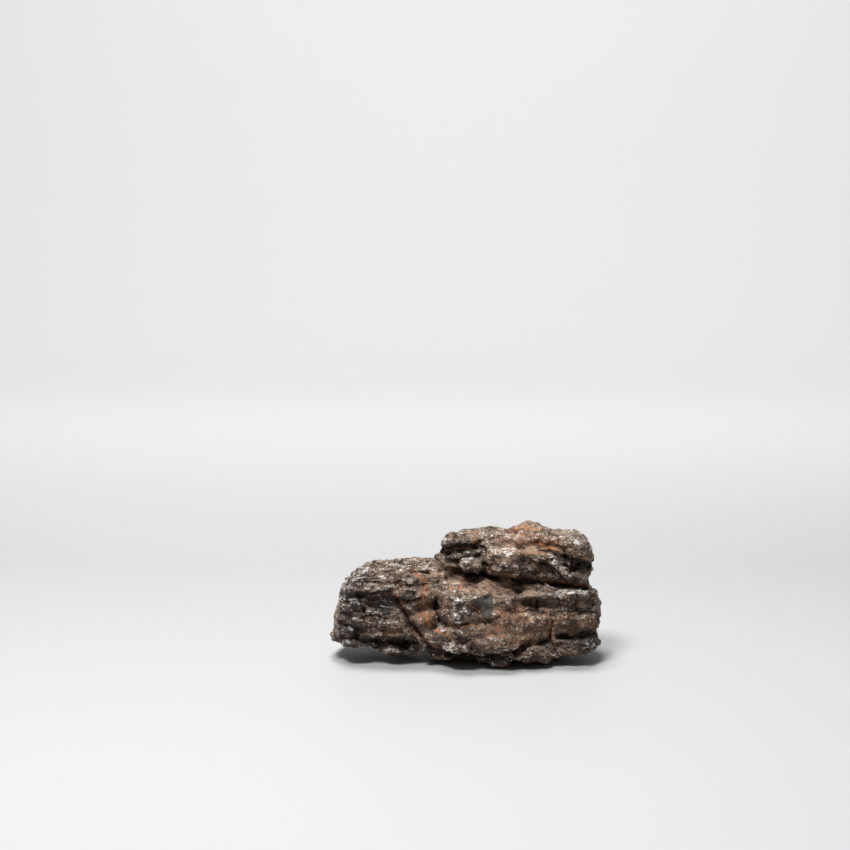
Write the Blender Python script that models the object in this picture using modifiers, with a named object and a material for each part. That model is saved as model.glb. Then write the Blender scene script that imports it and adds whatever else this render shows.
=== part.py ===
"""A pagoda rock: one piece of bedded, weathered limestone, about 150 mm long.

A narrower upper tier sits back on a broad lower tier, with a dark cleft between them. Both are built up
from blocks, slabs and knobs of stone that overlap and are drawn together into one skin. The skin is split
into beds, trimmed to the rock's outline and broken into blocky facets. Lumps are raised on it, recesses and
grooves are sunk in it, and its underside is cut to a small flat spot that the rock stands on.

The front of the rock faces -Y. +X is its right-hand end and +Z is up. The origin is at the middle of its
bounding box, at the level that it stands on.
"""

import itertools
import math
import random
from collections import namedtuple

import bmesh
import bpy
import numpy as np
from mathutils import Euler, Matrix, Vector, noise

MM = 0.001

# Driving dimensions, in metres
LENGTH = 0.150
DEPTH = 0.088
HEIGHT = 0.075
SKIN_GRAIN = 0.0010
TRIANGLE_COUNT = 9200

# The tables below are in millimetres and degrees, with X from the rock's middle and Z from what it stands on.
# A block goes from a ball to a box as square goes from 0 to 1.
Block = namedtuple("Block", "centre size turn square")
BLOCKS = [
    # Lower tier: its core, the left block with its sloping shelf, the bulging middle and the right block
    Block((2, 3, 27), (118, 56, 36), (0, 0, 0), 0.5),
    Block((-47, -4, 31), (46, 50, 30), (0, -5, 3), 0.75),
    Block((-61, -2, 22), (24, 44, 26), (0, -12, 0), 0.6),
    Block((-38, -2, 47), (62, 54, 12), (6, 0, 0), 0.75),
    Block((-6, 4, 46), (40, 40, 11), (6, 2, 0), 0.6),
    Block((-22, -12, 30), (26, 24, 26), (0, 6, 0), 0.5),
    Block((9, -17, 28), (52, 46, 40), (10, 4, 0), 0.35),
    Block((-1, -27, 28), (26, 22, 22), (0, 12, 14), 0.55),
    Block((22, -20, 20), (38, 38, 28), (0, 6, 0), 0.4),
    Block((47, -2, 33), (56, 48, 20), (0, 0, -3), 0.8),
    Block((50, -3, 37), (48, 50, 6), (0, 3, -4), 0.85),
    Block((48, -5, 24), (54, 50, 20), (0, -3, -2), 0.6),
    # Underside: lips and knobs that hang clear of the ground at both ends
    Block((-56, 0, 13.5), (43, 46, 8.5), (0, 6, 0), 0.65),
    Block((-42, -15, 9.5), (11, 14, 8), (0, 0, 20), 0.3),
    Block((-28, -18, 8), (7, 8, 10), (0, 0, 0), 0.2),
    Block((-16, -20, 11), (24, 16, 9), (0, 24, 10), 0.5),
    Block((-6, -6, 9), (36, 30, 14), (0, -2, 6), 0.5),
    Block((6, -16, 7), (14, 14, 9), (0, 0, 0), 0.3),
    Block((19, -21, 6), (14, 15, 12), (0, 10, 0), 0.25),
    Block((30, -16, 9), (16, 22, 12), (0, 0, 0), 0.4),
    Block((39, -14, 11.5), (22, 26, 19), (0, -6, 6), 0.5),
    Block((54, -4, 9.8), (47, 42, 8.5), (0, -11, -4), 0.75),
    Block((6, 3, 10), (50, 36, 22), (0, 0, 8), 0.35),
    # Upper tier: the neck in the cleft below it, its core, the ridge on top and the rounded cap at the right
    Block((27, 5, 45), (74, 34, 12), (0, 3, 0), 0.6),
    Block((27, 5, 57), (80, 42, 20), (0, 4, 0), 0.5),
    Block((25, 5, 64), (68, 34, 12), (0, -1, 0), 0.5),
    Block((36, 5, 69), (17, 24, 9), (0, -6, 10), 0.5),
    Block((34, -7, 60), (46, 28, 15), (16, 5, 0), 0.35),
    Block((59, 1, 60), (27, 38, 21), (0, 12, -8), 0.5),
    Block((60, -2, 48), (22, 28, 18), (0, 10, 0), 0.5),
    # Upper tier: lobes, flakes and boulders along its front
    Block((-3, -2, 64), (22, 24, 11), (0, -8, 10), 0.4),
    Block((2, -8, 58), (20, 16, 9), (10, -8, 0), 0.5),
    Block((-6, -8, 55), (18, 18, 8), (14, -10, 14), 0.5),
    Block((3, -16, 55), (16, 14, 9), (0, -14, 8), 0.4),
    Block((20, -17, 57), (21, 19, 17), (0, 4, 0), 0.4),
    Block((46, -13, 55), (28, 16, 14), (0, 18, 0), 0.45),
    # Back of both tiers, which stands in slabs with broken ends
    Block((18, 25, 54), (58, 22, 12), (0, 3, -5), 0.8),
    Block((-16, 22, 43.5), (88, 34, 11), (-3, 1, 4), 0.85),
    Block((22, 30, 27), (88, 24, 12), (0, -3, -3), 0.85),
    Block((-26, 28, 20), (56, 26, 9), (0, 4, 8), 0.8),
    Block((30, 24, 13), (54, 30, 9), (0, -5, -8), 0.8),
    Block((48, 18, 34), (38, 28, 9), (4, 2, -12), 0.8),
]
BLOCK_CUTS = 7
BLOCK_WOBBLE = 0.09
WOBBLES_ACROSS = 1.7
WOBBLE_SHIFT = 3.1

# Beds of the stone: each stands out or lies back by its own amount, with a ragged edge.
BED_THICKNESS = (3.2, 6.4)
BED_REACH = 1.5
BED_DIP = (-0.05, 0.04)
BED_WARP = 2.4
BED_WARP_SIZE = 45
BED_EDGE = 0.7
BED_RAGGED = 0.5
BED_RAGGED_SIZE = 14

# The stone breaks into chunks, large ones with small ones in them. Each chunk's face has its own level and
# tilt.
Chunks = namedtuple("Chunks", "size step tilt")
CHUNKS = [
    Chunks((17, 17, 8), 1.0, 3.0),
    Chunks((8, 8, 4.5), 0.55, 1.3),
]
CHUNK_TURN = (12, -7, 31)
CHUNK_SPREAD = 0.45
CHUNK_REPEAT = 16

# Large broken faces: the stone beyond each plane, near its point, is gone. The normal points outward.
Facet = namedtuple("Facet", "point normal reach")
FACETS = [
    Facet((-66, -5, 44), (-0.75, -0.1, 0.65), 22),
    Facet((-71, -10, 26), (-0.95, -0.2, 0.2), 26),
    Facet((-50, -28, 28), (-0.15, -0.98, 0.05), 16),
    Facet((72, -12, 32), (0.95, -0.3, 0.1), 16),
    Facet((-62, 24, 40), (-0.5, 0.8, 0.3), 26),
    Facet((60, 32, 30), (0.6, 0.78, 0.1), 26),
    Facet((10, 40, 30), (-0.1, 0.98, 0.15), 22),
    Facet((40, 34, 58), (0.3, 0.9, 0.3), 22),
]

# The front view looks down at the rock by VIEW_DIP from VIEW_DISTANCE. In it a place is X and a height up
# the view.
VIEW_DIP = math.radians(12)
VIEW_DISTANCE = 1300
VIEW_LEVEL = 34.5

# The rock's outline in the front view, from the tip of the lip at its lower left, clockwise
OUTLINE = [
    # Up the left end, along the shelf and up to the lobe of the upper tier
    (-75, 10), (-74, 16.5), (-72.5, 24.5), (-70, 35), (-67.5, 43.5), (-60.5, 48.5), (-55.5, 52), (-45, 53.5),
    (-33.5, 54.5), (-22.5, 54), (-19.5, 53), (-17, 57), (-14, 60), (-13, 65), (-10, 69),
    # Along the top, and down the right end
    (-2, 70), (9, 71), (19.5, 73), (25.5, 72.5), (38.5, 74.5), (43, 71), (50, 70), (62, 70), (67, 66),
    (70, 57), (69.5, 48.5), (67, 38.5), (71, 38), (74, 32), (74.5, 26), (73, 18.5), (72, 14), (75, 8),
    # Back along the underside
    (69, 4.5), (59.5, 1.5), (49, 1), (47, -2), (33.5, -3.5), (23, -4.5), (16, -5), (11, -1.5), (5.5, -3.5),
    (-1.5, -2), (-8, -1), (-18, 0), (-22.5, 4.5), (-27.5, -1.5), (-31, 2), (-44, 2), (-46.5, 4.5),
    (-54.5, 5), (-70, 7),
]

# The outline seen from above, in X and Y, of the whole rock and of its upper tier. The upper tier starts at
# a level that is TIER_LEVEL at X = 0 and rises by TIER_RISE along X.
PLAN = [
    (-75, -5), (-74.5, 6), (-69, 19), (-58, 29), (-40, 35), (-16, 39), (8, 44), (34, 42), (53, 35),
    (66, 25), (73, 12), (75, 0), (73, -12), (65, -22), (48, -27), (30, -31), (23, -38), (11, -42),
    (-4, -41), (-13, -35), (-22, -29), (-45, -28), (-61, -24), (-71, -15),
]
UPPER_PLAN = [
    (-17, -5), (-14, 8), (-4, 17), (16, 25), (40, 27), (57, 21), (68, 9), (71, -3), (66, -14), (55, -21),
    (38, -25), (20, -30), (4, -26), (-10, -18),
]
TIER_LEVEL = 50
TIER_RISE = -0.11

# Lumps raised on the front. A place and its half widths are in the front view; turn is anticlockwise.
Lump = namedtuple("Lump", "place half_widths turn height")
LUMPS = [
    # Upper tier: lobe, flakes, boulders, knob, slanting lens, ridge, end lump and cap
    Lump((-3, 65), (10, 4.8), -4, 3.4),
    Lump((2, 58), (8.5, 2.6), -6, 2.6),
    Lump((-5, 54), (8, 2.3), -8, 2.6),
    Lump((-14, 53), (4.8, 2.8), 0, 2.2),
    Lump((2.5, 50), (7.5, 3.9), -5, 3.6),
    Lump((20, 53), (9.5, 9), 0, 4.0),
    Lump((34, 47.5), (3.4, 3.2), 0, 2.6),
    Lump((46, 54), (8, 3.6), -28, 3.2),
    Lump((50, 46), (9, 2.9), -30, 2.6),
    Lump((61, 43), (6, 5), 0, 3.0),
    Lump((61, 63), (11, 7), -10, 2.6),
    # Lower tier, right: the rim of the ledge, the brown band, the slab and the lump below
    Lump((58, 36), (17, 2.8), -4, 2.4),
    Lump((60, 20), (14, 5.4), -2, 2.6),
    Lump((62, 9), (13, 4), 12, 1.8),
    Lump((36, 20), (9, 10), 0, 1.8),
    Lump((39, 2.5), (10, 5.5), 6, 2.6),
    # Lower tier, middle: its grey shoulder, its rim and the knob it stands on
    Lump((-3.5, 26), (6.5, 6.5), 0, 2.4),
    Lump((19, 8), (15, 5), 3, 2.4),
    Lump((-5, 5), (9, 3.6), -8, 2.4),
    Lump((18, -1), (7.5, 4), -6, 2.0),
    # Lower tier, left: the corner, the lip of the shelf, the lumps of the foot
    Lump((-62, 41), (6.5, 4), 40, 1.8),
    Lump((-48, 37.5), (11, 2), -2, 2.6),
    Lump((-66, 26), (4, 7), 10, 1.8),
    Lump((-64, 9), (12, 3), -4, 2.0),
    Lump((-44, 7.5), (8, 3.4), 0, 2.0),
    Lump((-46, 20), (8, 2.4), -4, 1.8),
]

# Recesses: the skin inside the corners, in the front view, lies further back by its depth, with a sheer edge.
Recess = namedtuple("Recess", "corners depth")
RECESSES = [
    Recess([(-56, 34), (-41.5, 35), (-37, 29), (-33, 24), (-40, 23), (-54, 26)], 4.0),
    Recess([(-62, 17), (-38, 17), (-31, 12.5), (-62, 11)], 2.6),
    Recess([(2, 30), (14.5, 35), (13.5, 19.5), (10, 18.5)], 2.2),
    Recess([(24, 32), (44, 33), (71, 32), (72, 27), (50, 25), (28, 26)], 2.6),
    Recess([(53, 54), (69, 52), (68, 46), (57, 47)], 3.2),
    Recess([(-14, 22), (-11, 29), (-7, 31), (-9, 14)], 2.4),
    Recess([(26, 62), (42, 65), (50, 60), (38, 58.5), (30, 57)], 1.4),
]
RECESS_EDGE = 0.6

# Grooves sunk in the skin: a route, in the front view or in space, a half width and a depth.
Groove = namedtuple("Groove", "route half_width depth")
FRONT_GROOVES = [
    # The cleft between the tiers
    Groove([(-20, 52), (-6, 47.5), (2, 46.5), (19, 44), (30, 43), (41, 41.5), (52, 40), (66, 38)], 1.0, 3.4),
    # The clefts under the lobe at the left of the upper tier
    Groove([(-17, 58), (-9, 57), (0, 61), (9, 60)], 0.8, 2.6),
    Groove([(-11, 52.5), (-3, 52.5), (8, 55)], 0.7, 2.0),
    Groove([(9, 54), (10.5, 50), (9, 46)], 0.7, 2.2),
    # The grooves over the slanting lens and over the recess under the cap
    Groove([(37, 58), (42, 59.5), (49, 57), (58, 49)], 0.7, 2.2),
    Groove([(52, 56), (60, 55), (69, 52)], 0.9, 2.0),
    # The split down the front of the left block
    Groove([(-43, 37.5), (-34, 26), (-30, 17), (-25, 11), (-20, 5)], 0.8, 3.0),
    # The deep dark belt that undercuts the left block
    Groove([(-66, 12), (-56, 10), (-40, 9), (-26, 7)], 1.3, 3.6),
    # The hollow left of the bulging middle, and the edge under it
    Groove([(-22, 34), (-15, 27), (-12, 18), (-2, 8)], 1.6, 2.6),
    Groove([(-10, 1.5), (2, 1.5), (12, 2.5), (27, 2), (34, 8), (46, 10)], 1.0, 3.0),
    # The joints of the dark face under the right ledge, and the cleft over the lowest slab
    Groove([(49, 34), (50, 25)], 0.6, 1.4),
    Groove([(62, 33), (61, 26)], 0.6, 1.2),
    Groove([(48, 12), (52, 13), (60, 14), (73, 15)], 0.9, 3.0),
    Groove([(46, 17), (46, 8), (48, -1)], 1.0, 3.0),
]
SIDE_GROOVES = [
    Groove([(66, -12, 40), (70, 0, 41), (68, 14, 43)], 1.6, 4.0),
    Groove([(-18, 4, 53), (-14, 18, 51), (10, 30, 48), (50, 32, 46)], 1.6, 3.0),
]

# How far the edges of lumps, recesses and grooves wander, and over what distance
EDGE_WANDER = 0.7
EDGE_WANDER_SIZE = 6

# What is done in the front view fades where the skin turns away, and from FRONT_REACH back over FRONT_FADE.
FRONT_TURN = 0.2
FRONT_SLOPE = 1.6
FRONT_REACH = 10
FRONT_FADE = 8

ROUGHNESS = 0.7
ROUGH_SIZE = 6
FOOT_LEVEL = 1
SHARP_EDGE = math.radians(30)
SEED = 11


def block_mesh(block, index):
    """A closed grid box in world millimetres, drawn towards a ball, with a wobbling skin."""
    made = bmesh.new()
    bmesh.ops.create_cube(made, size=2.0)
    bmesh.ops.subdivide_edges(made, edges=made.edges[:], cuts=BLOCK_CUTS, use_grid_fill=True)
    place = Matrix.LocRotScale(
        Vector(block.centre),
        Euler([math.radians(angle) for angle in block.turn]),
        Vector(block.size) / 2,
    )
    for corner in made.verts:
        ball = corner.co.normalized()
        wobble = 1 + BLOCK_WOBBLE * noise.noise(ball * WOBBLES_ACROSS + Vector((index * WOBBLE_SHIFT, 0, 0)))
        corner.co = place @ (ball.lerp(corner.co, block.square) * wobble)
    return made


def pile_of_blocks():
    """One mesh, in metres, that holds every block as its own closed shell."""
    pile = bpy.data.meshes.new("pile")
    gathered = bmesh.new()
    for index, block in enumerate(BLOCKS):
        one = block_mesh(block, index)
        one.to_mesh(pile)
        one.free()
        gathered.from_mesh(pile)
    bmesh.ops.scale(gathered, vec=(MM, MM, MM), verts=gathered.verts)
    gathered.to_mesh(pile)
    gathered.free()
    return pile


def evaluated_mesh(obj):
    """The object's mesh with its modifiers applied."""
    graph = bpy.context.evaluated_depsgraph_get()
    return bpy.data.meshes.new_from_object(obj.evaluated_get(graph))


def drawn_together(mesh, grain):
    """One closed skin around everything in the mesh, made of squares of that size."""
    helper = bpy.data.objects.new("helper", mesh)
    bpy.context.scene.collection.objects.link(helper)
    skin = helper.modifiers.new("skin", "REMESH")
    skin.mode = "VOXEL"
    skin.voxel_size = grain
    made = evaluated_mesh(helper)
    bpy.data.objects.remove(helper)
    return made


def points_of(mesh):
    """The mesh's points in millimetres, as rows."""
    points = np.empty(len(mesh.vertices) * 3)
    mesh.vertices.foreach_get("co", points)
    return points.reshape(-1, 3) / MM


def set_points(mesh, points):
    mesh.vertices.foreach_set("co", (points * MM).ravel())
    mesh.update()


def normals_of(mesh):
    normals = np.empty(len(mesh.vertices) * 3, np.float32)
    mesh.vertex_normals.foreach_get("vector", normals)
    return normals.reshape(-1, 3).astype(float)


def noise_at(points, size, octaves=3):
    """Smooth noise, about -1 to 1, with features of that size in millimetres."""
    return np.array([noise.fractal(Vector(p), 1.0, 2.0, octaves) for p in points / size])


def split_into_beds(mesh):
    """Moves each bed of the stone in or out along the level, so that ledges and shelves stand out."""
    points, normals = points_of(mesh), normals_of(mesh)
    level = points[:, 2] + BED_DIP[0] * points[:, 0] + BED_DIP[1] * points[:, 1]
    level = level + BED_WARP * noise_at(points, BED_WARP_SIZE, 2)
    draw = random.Random(SEED)
    reach = np.zeros(len(points))
    top = level.min()
    while top < level.max():
        bottom = top
        top = bottom + draw.uniform(*BED_THICKNESS)
        inside = np.clip((level - bottom) / BED_EDGE, 0, 1) * np.clip((top - level) / BED_EDGE, 0, 1)
        reach += inside * draw.uniform(-1, 1)
    outward = normals * (1, 1, 0)
    ragged = 1 + BED_RAGGED * noise_at(points, BED_RAGGED_SIZE, 2)
    set_points(mesh, points + outward * (BED_REACH * reach * ragged)[:, None])


def break_into_chunks(mesh, chunks, salt):
    """Gives the skin over each chunk of stone a level and a tilt of its own.

    A chunk is all that is nearest its seed, and the seeds are spread at random, one to a cell of a grid.
    """
    points, normals = points_of(mesh), normals_of(mesh)
    turn = np.array(Euler([math.radians(angle) for angle in CHUNK_TURN]).to_matrix())
    scaled = (points @ turn.T) / chunks.size
    cell = np.floor(scaled).astype(int)
    table = np.random.default_rng(SEED + salt).uniform(-1, 1, (CHUNK_REPEAT, CHUNK_REPEAT, CHUNK_REPEAT, 7))
    nearest = np.full(len(points), np.inf)
    lift = np.zeros(len(points))
    for shift in itertools.product((-1, 0, 1), repeat=3):
        values = table[tuple(((cell + shift) % CHUNK_REPEAT).T)]
        gap = scaled - (cell + shift + 0.5 + CHUNK_SPREAD * values[:, :3])
        far = (gap**2).sum(1)
        here = chunks.step * values[:, 3] + chunks.tilt * (values[:, 4:] * gap).sum(1)
        lift = np.where(far < nearest, here, lift)
        nearest = np.minimum(far, nearest)
    set_points(mesh, points + normals * lift[:, None])


def break_facets(mesh):
    """Flattens what stands beyond each facet's plane, near its point."""
    points = points_of(mesh)
    for facet in FACETS:
        normal = np.array(facet.normal) / np.linalg.norm(facet.normal)
        away = points - np.array(facet.point)
        beyond = np.maximum(away @ normal, 0)
        near = np.clip(2 - 2 * np.linalg.norm(away, axis=1) / facet.reach, 0, 1)
        points = points - (beyond * near)[:, None] * normal
    set_points(mesh, points)


VIEW_UP = np.array([0, math.sin(VIEW_DIP), math.cos(VIEW_DIP)])
VIEW_AWAY = np.array([0, math.cos(VIEW_DIP), -math.sin(VIEW_DIP)])


def seen_from_front(points):
    """Where each point is in the front view, and how much smaller it looks than one at the rock's middle."""
    shrink = VIEW_DISTANCE / (VIEW_DISTANCE + (points - (0, 0, VIEW_LEVEL)) @ VIEW_AWAY)
    middle = VIEW_LEVEL * math.cos(VIEW_DIP)
    return np.column_stack([points[:, 0] * shrink, (points @ VIEW_UP - middle) * shrink + middle]), shrink


def facing_front(mesh):
    """How much each point is part of the front, from 0 for what faces away or lies far back to 1."""
    points, normals = points_of(mesh), normals_of(mesh)
    turned = np.clip(FRONT_TURN - FRONT_SLOPE * normals @ VIEW_AWAY, 0, 1)
    return turned * np.clip((FRONT_REACH + FRONT_FADE - points[:, 1]) / FRONT_FADE, 0, 1)


def nearest_on_route(places, route):
    """The nearest place to each one on a route of straight stretches, and how far away it is."""
    nearest, least = np.zeros_like(places), np.full(len(places), np.inf)
    for start, end in zip(route, route[1:]):
        start, way = np.array(start, float), np.subtract(end, start).astype(float)
        share = np.clip(((places - start) @ way) / (way @ way), 0, 1)
        found = start + share[:, None] * way
        off = np.linalg.norm(places - found, axis=1)
        nearest = np.where((off < least)[:, None], found, nearest)
        least = np.minimum(off, least)
    return nearest, least


def inside_of(places, corners):
    """Whether each place lies inside the closed run of corners."""
    inside = np.zeros(len(places), bool)
    x, y = places.T
    for (x0, y0), (x1, y1) in zip(corners, corners[1:] + corners[:1]):
        if y0 != y1:
            crosses = (y0 > y) != (y1 > y)
            inside ^= crosses & (x < x0 + (y - y0) * (x1 - x0) / (y1 - y0))
    return inside


def trim_to_outline(mesh):
    """Moves what shows outside the outline, in the front view, onto it."""
    points = points_of(mesh)
    places, shrink = seen_from_front(points)
    nearest, _ = nearest_on_route(places, OUTLINE + OUTLINE[:1])
    move = np.where(inside_of(places, OUTLINE)[:, None], 0, (nearest - places) / shrink[:, None])
    set_points(mesh, points + move[:, :1] * (1, 0, 0) + move[:, 1:] * VIEW_UP)


def trim_to_plan(mesh, plan, level, rise):
    """Moves what lies above the level and outside the plan, seen from above, onto the plan."""
    points = points_of(mesh)
    nearest, _ = nearest_on_route(points[:, :2], plan + plan[:1])
    outside = ~inside_of(points[:, :2], plan) & (points[:, 2] > level + rise * points[:, 0])
    points[outside, :2] = nearest[outside]
    set_points(mesh, points)


def raise_lump(mesh, lump, front):
    points = points_of(mesh)
    places, _ = seen_from_front(points)
    away = places - lump.place + EDGE_WANDER * noise_at(points, EDGE_WANDER_SIZE, 2)[:, None]
    turn = math.radians(lump.turn)
    along = (away @ (math.cos(turn), math.sin(turn))) / lump.half_widths[0]
    across = (away @ (-math.sin(turn), math.cos(turn))) / lump.half_widths[1]
    rise = lump.height * np.sqrt(np.clip(1 - along**2 - across**2, 0, 1)) * front
    set_points(mesh, points - rise[:, None] * VIEW_AWAY)


def sink_recess(mesh, recess, front):
    points = points_of(mesh)
    places, _ = seen_from_front(points)
    places = places + EDGE_WANDER * noise_at(points, EDGE_WANDER_SIZE, 2)[:, None]
    _, off = nearest_on_route(places, recess.corners + recess.corners[:1])
    sink = recess.depth * np.clip(off / RECESS_EDGE, 0, 1) * inside_of(places, recess.corners) * front
    set_points(mesh, points + sink[:, None] * VIEW_AWAY)


def cut_groove(mesh, groove, front=None):
    """Sinks the skin along one groove, which wanders a little off its route."""
    points, normals = points_of(mesh), normals_of(mesh)
    places = points if front is None else seen_from_front(points)[0]
    _, off = nearest_on_route(places, groove.route)
    off = off + EDGE_WANDER * np.abs(noise_at(points, EDGE_WANDER_SIZE, 2))
    sink = groove.depth * np.exp(-((off / groove.half_width) ** 2) / 2) * (1 if front is None else front)
    set_points(mesh, points - normals * sink[:, None])


def roughen(mesh):
    points, normals = points_of(mesh), normals_of(mesh)
    bumps = noise_at(points, ROUGH_SIZE, 4)
    set_points(mesh, points + normals * (ROUGHNESS * bumps)[:, None])


def fit_to_size(mesh):
    """Scales the mesh to the driving dimensions and centres it, with its lowest point at zero."""
    points = points_of(mesh) * MM
    low, high = points.min(0), points.max(0)
    points = (points - (low + high) / 2) * (np.array([LENGTH, DEPTH, HEIGHT]) / (high - low))
    points[:, 2] += HEIGHT / 2
    set_points(mesh, points / MM)


def simplified(mesh, count):
    """The mesh cut down to about this count of triangles, fewest where the stone is plain."""
    helper = bpy.data.objects.new("helper", mesh)
    bpy.context.scene.collection.objects.link(helper)
    mesh.calc_loop_triangles()
    fewer = helper.modifiers.new("fewer", "DECIMATE")
    fewer.ratio = count / len(mesh.loop_triangles)
    fewer.use_collapse_triangulate = True
    made = evaluated_mesh(helper)
    bpy.data.objects.remove(helper)
    return made


def cut_flat_spot(mesh, level):
    """Cuts the underside off level at that height, as the flat spot that the rock stands on."""
    cut = bmesh.new()
    cut.from_mesh(mesh)
    everything = cut.verts[:] + cut.edges[:] + cut.faces[:]
    made = bmesh.ops.bisect_plane(
        cut, geom=everything, plane_co=(0, 0, level), plane_no=(0, 0, 1), clear_inner=True
    )
    rim = [item for item in made["geom_cut"] if isinstance(item, bmesh.types.BMEdge)]
    bmesh.ops.holes_fill(cut, edges=rim, sides=0)
    bmesh.ops.triangulate(cut, faces=cut.faces[:])
    bmesh.ops.recalc_face_normals(cut, faces=cut.faces[:])
    cut.to_mesh(mesh)
    cut.free()


def keep_largest_shell(mesh):
    """Removes hollows closed off inside the stone and crumbs that hang free of it."""
    shells = bmesh.new()
    shells.from_mesh(mesh)
    left, largest = set(shells.verts), set()
    while left:
        found, edge = set(), {left.pop()}
        while edge:
            found |= edge
            edge = {link.other_vert(corner) for corner in edge for link in corner.link_edges} - found
        left -= found
        largest = max(largest, found, key=len)
    loose = [corner for corner in shells.verts if corner not in largest]
    bmesh.ops.delete(shells, geom=loose, context="VERTS")
    shells.to_mesh(mesh)
    shells.free()


def stone_material():
    """Weathered limestone: a dull grey-brown with no metal in it."""
    material = bpy.data.materials.new("weathered_limestone")
    material.use_nodes = True
    surface = material.node_tree.nodes["Principled BSDF"]
    surface.inputs["Base Color"].default_value = (0.12, 0.09, 0.075, 1)
    surface.inputs["Roughness"].default_value = 0.85
    surface.inputs["Metallic"].default_value = 0.0
    return material


def make_rock():
    mesh = drawn_together(pile_of_blocks(), SKIN_GRAIN)
    split_into_beds(mesh)
    trim_to_outline(mesh)
    trim_to_plan(mesh, PLAN, 0, 0)
    trim_to_plan(mesh, UPPER_PLAN, TIER_LEVEL, TIER_RISE)
    mesh = drawn_together(mesh, SKIN_GRAIN)
    for salt, chunks in enumerate(CHUNKS):
        break_into_chunks(mesh, chunks, salt)
    break_facets(mesh)
    trim_to_outline(mesh)
    mesh = drawn_together(mesh, SKIN_GRAIN)
    front = facing_front(mesh)
    for lump in LUMPS:
        raise_lump(mesh, lump, front)
    for recess in RECESSES:
        sink_recess(mesh, recess, front)
    for groove in FRONT_GROOVES:
        cut_groove(mesh, groove, front)
    for groove in SIDE_GROOVES:
        cut_groove(mesh, groove)
    roughen(mesh)
    mesh = drawn_together(mesh, SKIN_GRAIN)
    mesh = simplified(mesh, TRIANGLE_COUNT)
    cut_flat_spot(mesh, FOOT_LEVEL * MM)
    keep_largest_shell(mesh)
    fit_to_size(mesh)
    mesh.materials.clear()
    mesh.materials.append(stone_material())
    mesh.shade_smooth()
    mesh.set_sharp_from_angle(angle=SHARP_EDGE)
    rock = bpy.data.objects.new("pagoda_rock", mesh)
    part = bpy.data.collections.new("pagoda_rock")
    bpy.context.scene.collection.children.link(part)
    part.objects.link(rock)
    return rock


for old in list(bpy.data.objects):
    bpy.data.objects.remove(old)
make_rock()
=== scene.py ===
"""The look of the pagoda rock: its fine skin, its stone, and the studio it stands in.

The rock is built again from the values that shape its solid, at a much finer grain. Fine beds, small
chips, cracks and pits are then added. How far each point stands out or lies in a hollow is stored on the
mesh, with the places of dark stone, pale dust, painted highlights, painted shade, veins and cracks, and the
stone material mixes its colours from these and from noise. It paints shade into hollows, pits and what
faces down, and paints light onto edges that stand out and onto what faces up.
"""

import itertools
import math
import random
from collections import namedtuple

import bmesh
import bpy
import numpy as np
from mathutils import Euler, Matrix, Vector, noise


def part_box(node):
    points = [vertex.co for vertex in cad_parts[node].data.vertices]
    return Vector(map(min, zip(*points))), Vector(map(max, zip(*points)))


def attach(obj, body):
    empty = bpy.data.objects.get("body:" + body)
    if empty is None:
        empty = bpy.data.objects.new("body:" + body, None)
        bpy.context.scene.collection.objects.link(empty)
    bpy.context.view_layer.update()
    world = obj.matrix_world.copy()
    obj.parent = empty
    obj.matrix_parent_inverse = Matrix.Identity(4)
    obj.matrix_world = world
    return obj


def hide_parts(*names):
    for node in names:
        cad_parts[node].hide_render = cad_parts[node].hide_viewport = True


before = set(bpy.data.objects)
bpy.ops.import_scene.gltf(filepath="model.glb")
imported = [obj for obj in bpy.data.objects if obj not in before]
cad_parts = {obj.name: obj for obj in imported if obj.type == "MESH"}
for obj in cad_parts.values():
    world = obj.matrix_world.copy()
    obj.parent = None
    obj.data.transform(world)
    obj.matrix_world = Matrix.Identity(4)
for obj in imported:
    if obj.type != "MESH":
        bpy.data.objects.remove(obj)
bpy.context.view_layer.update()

MM = 0.001
# The size of the squares that the skin is made of, in metres, and the triangles left of it at the end
FINE_GRAIN = 0.00072
FINE_TRIANGLES = 196000


def rows_of(kind, rows):
    return [kind(*row) for row in rows]


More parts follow.
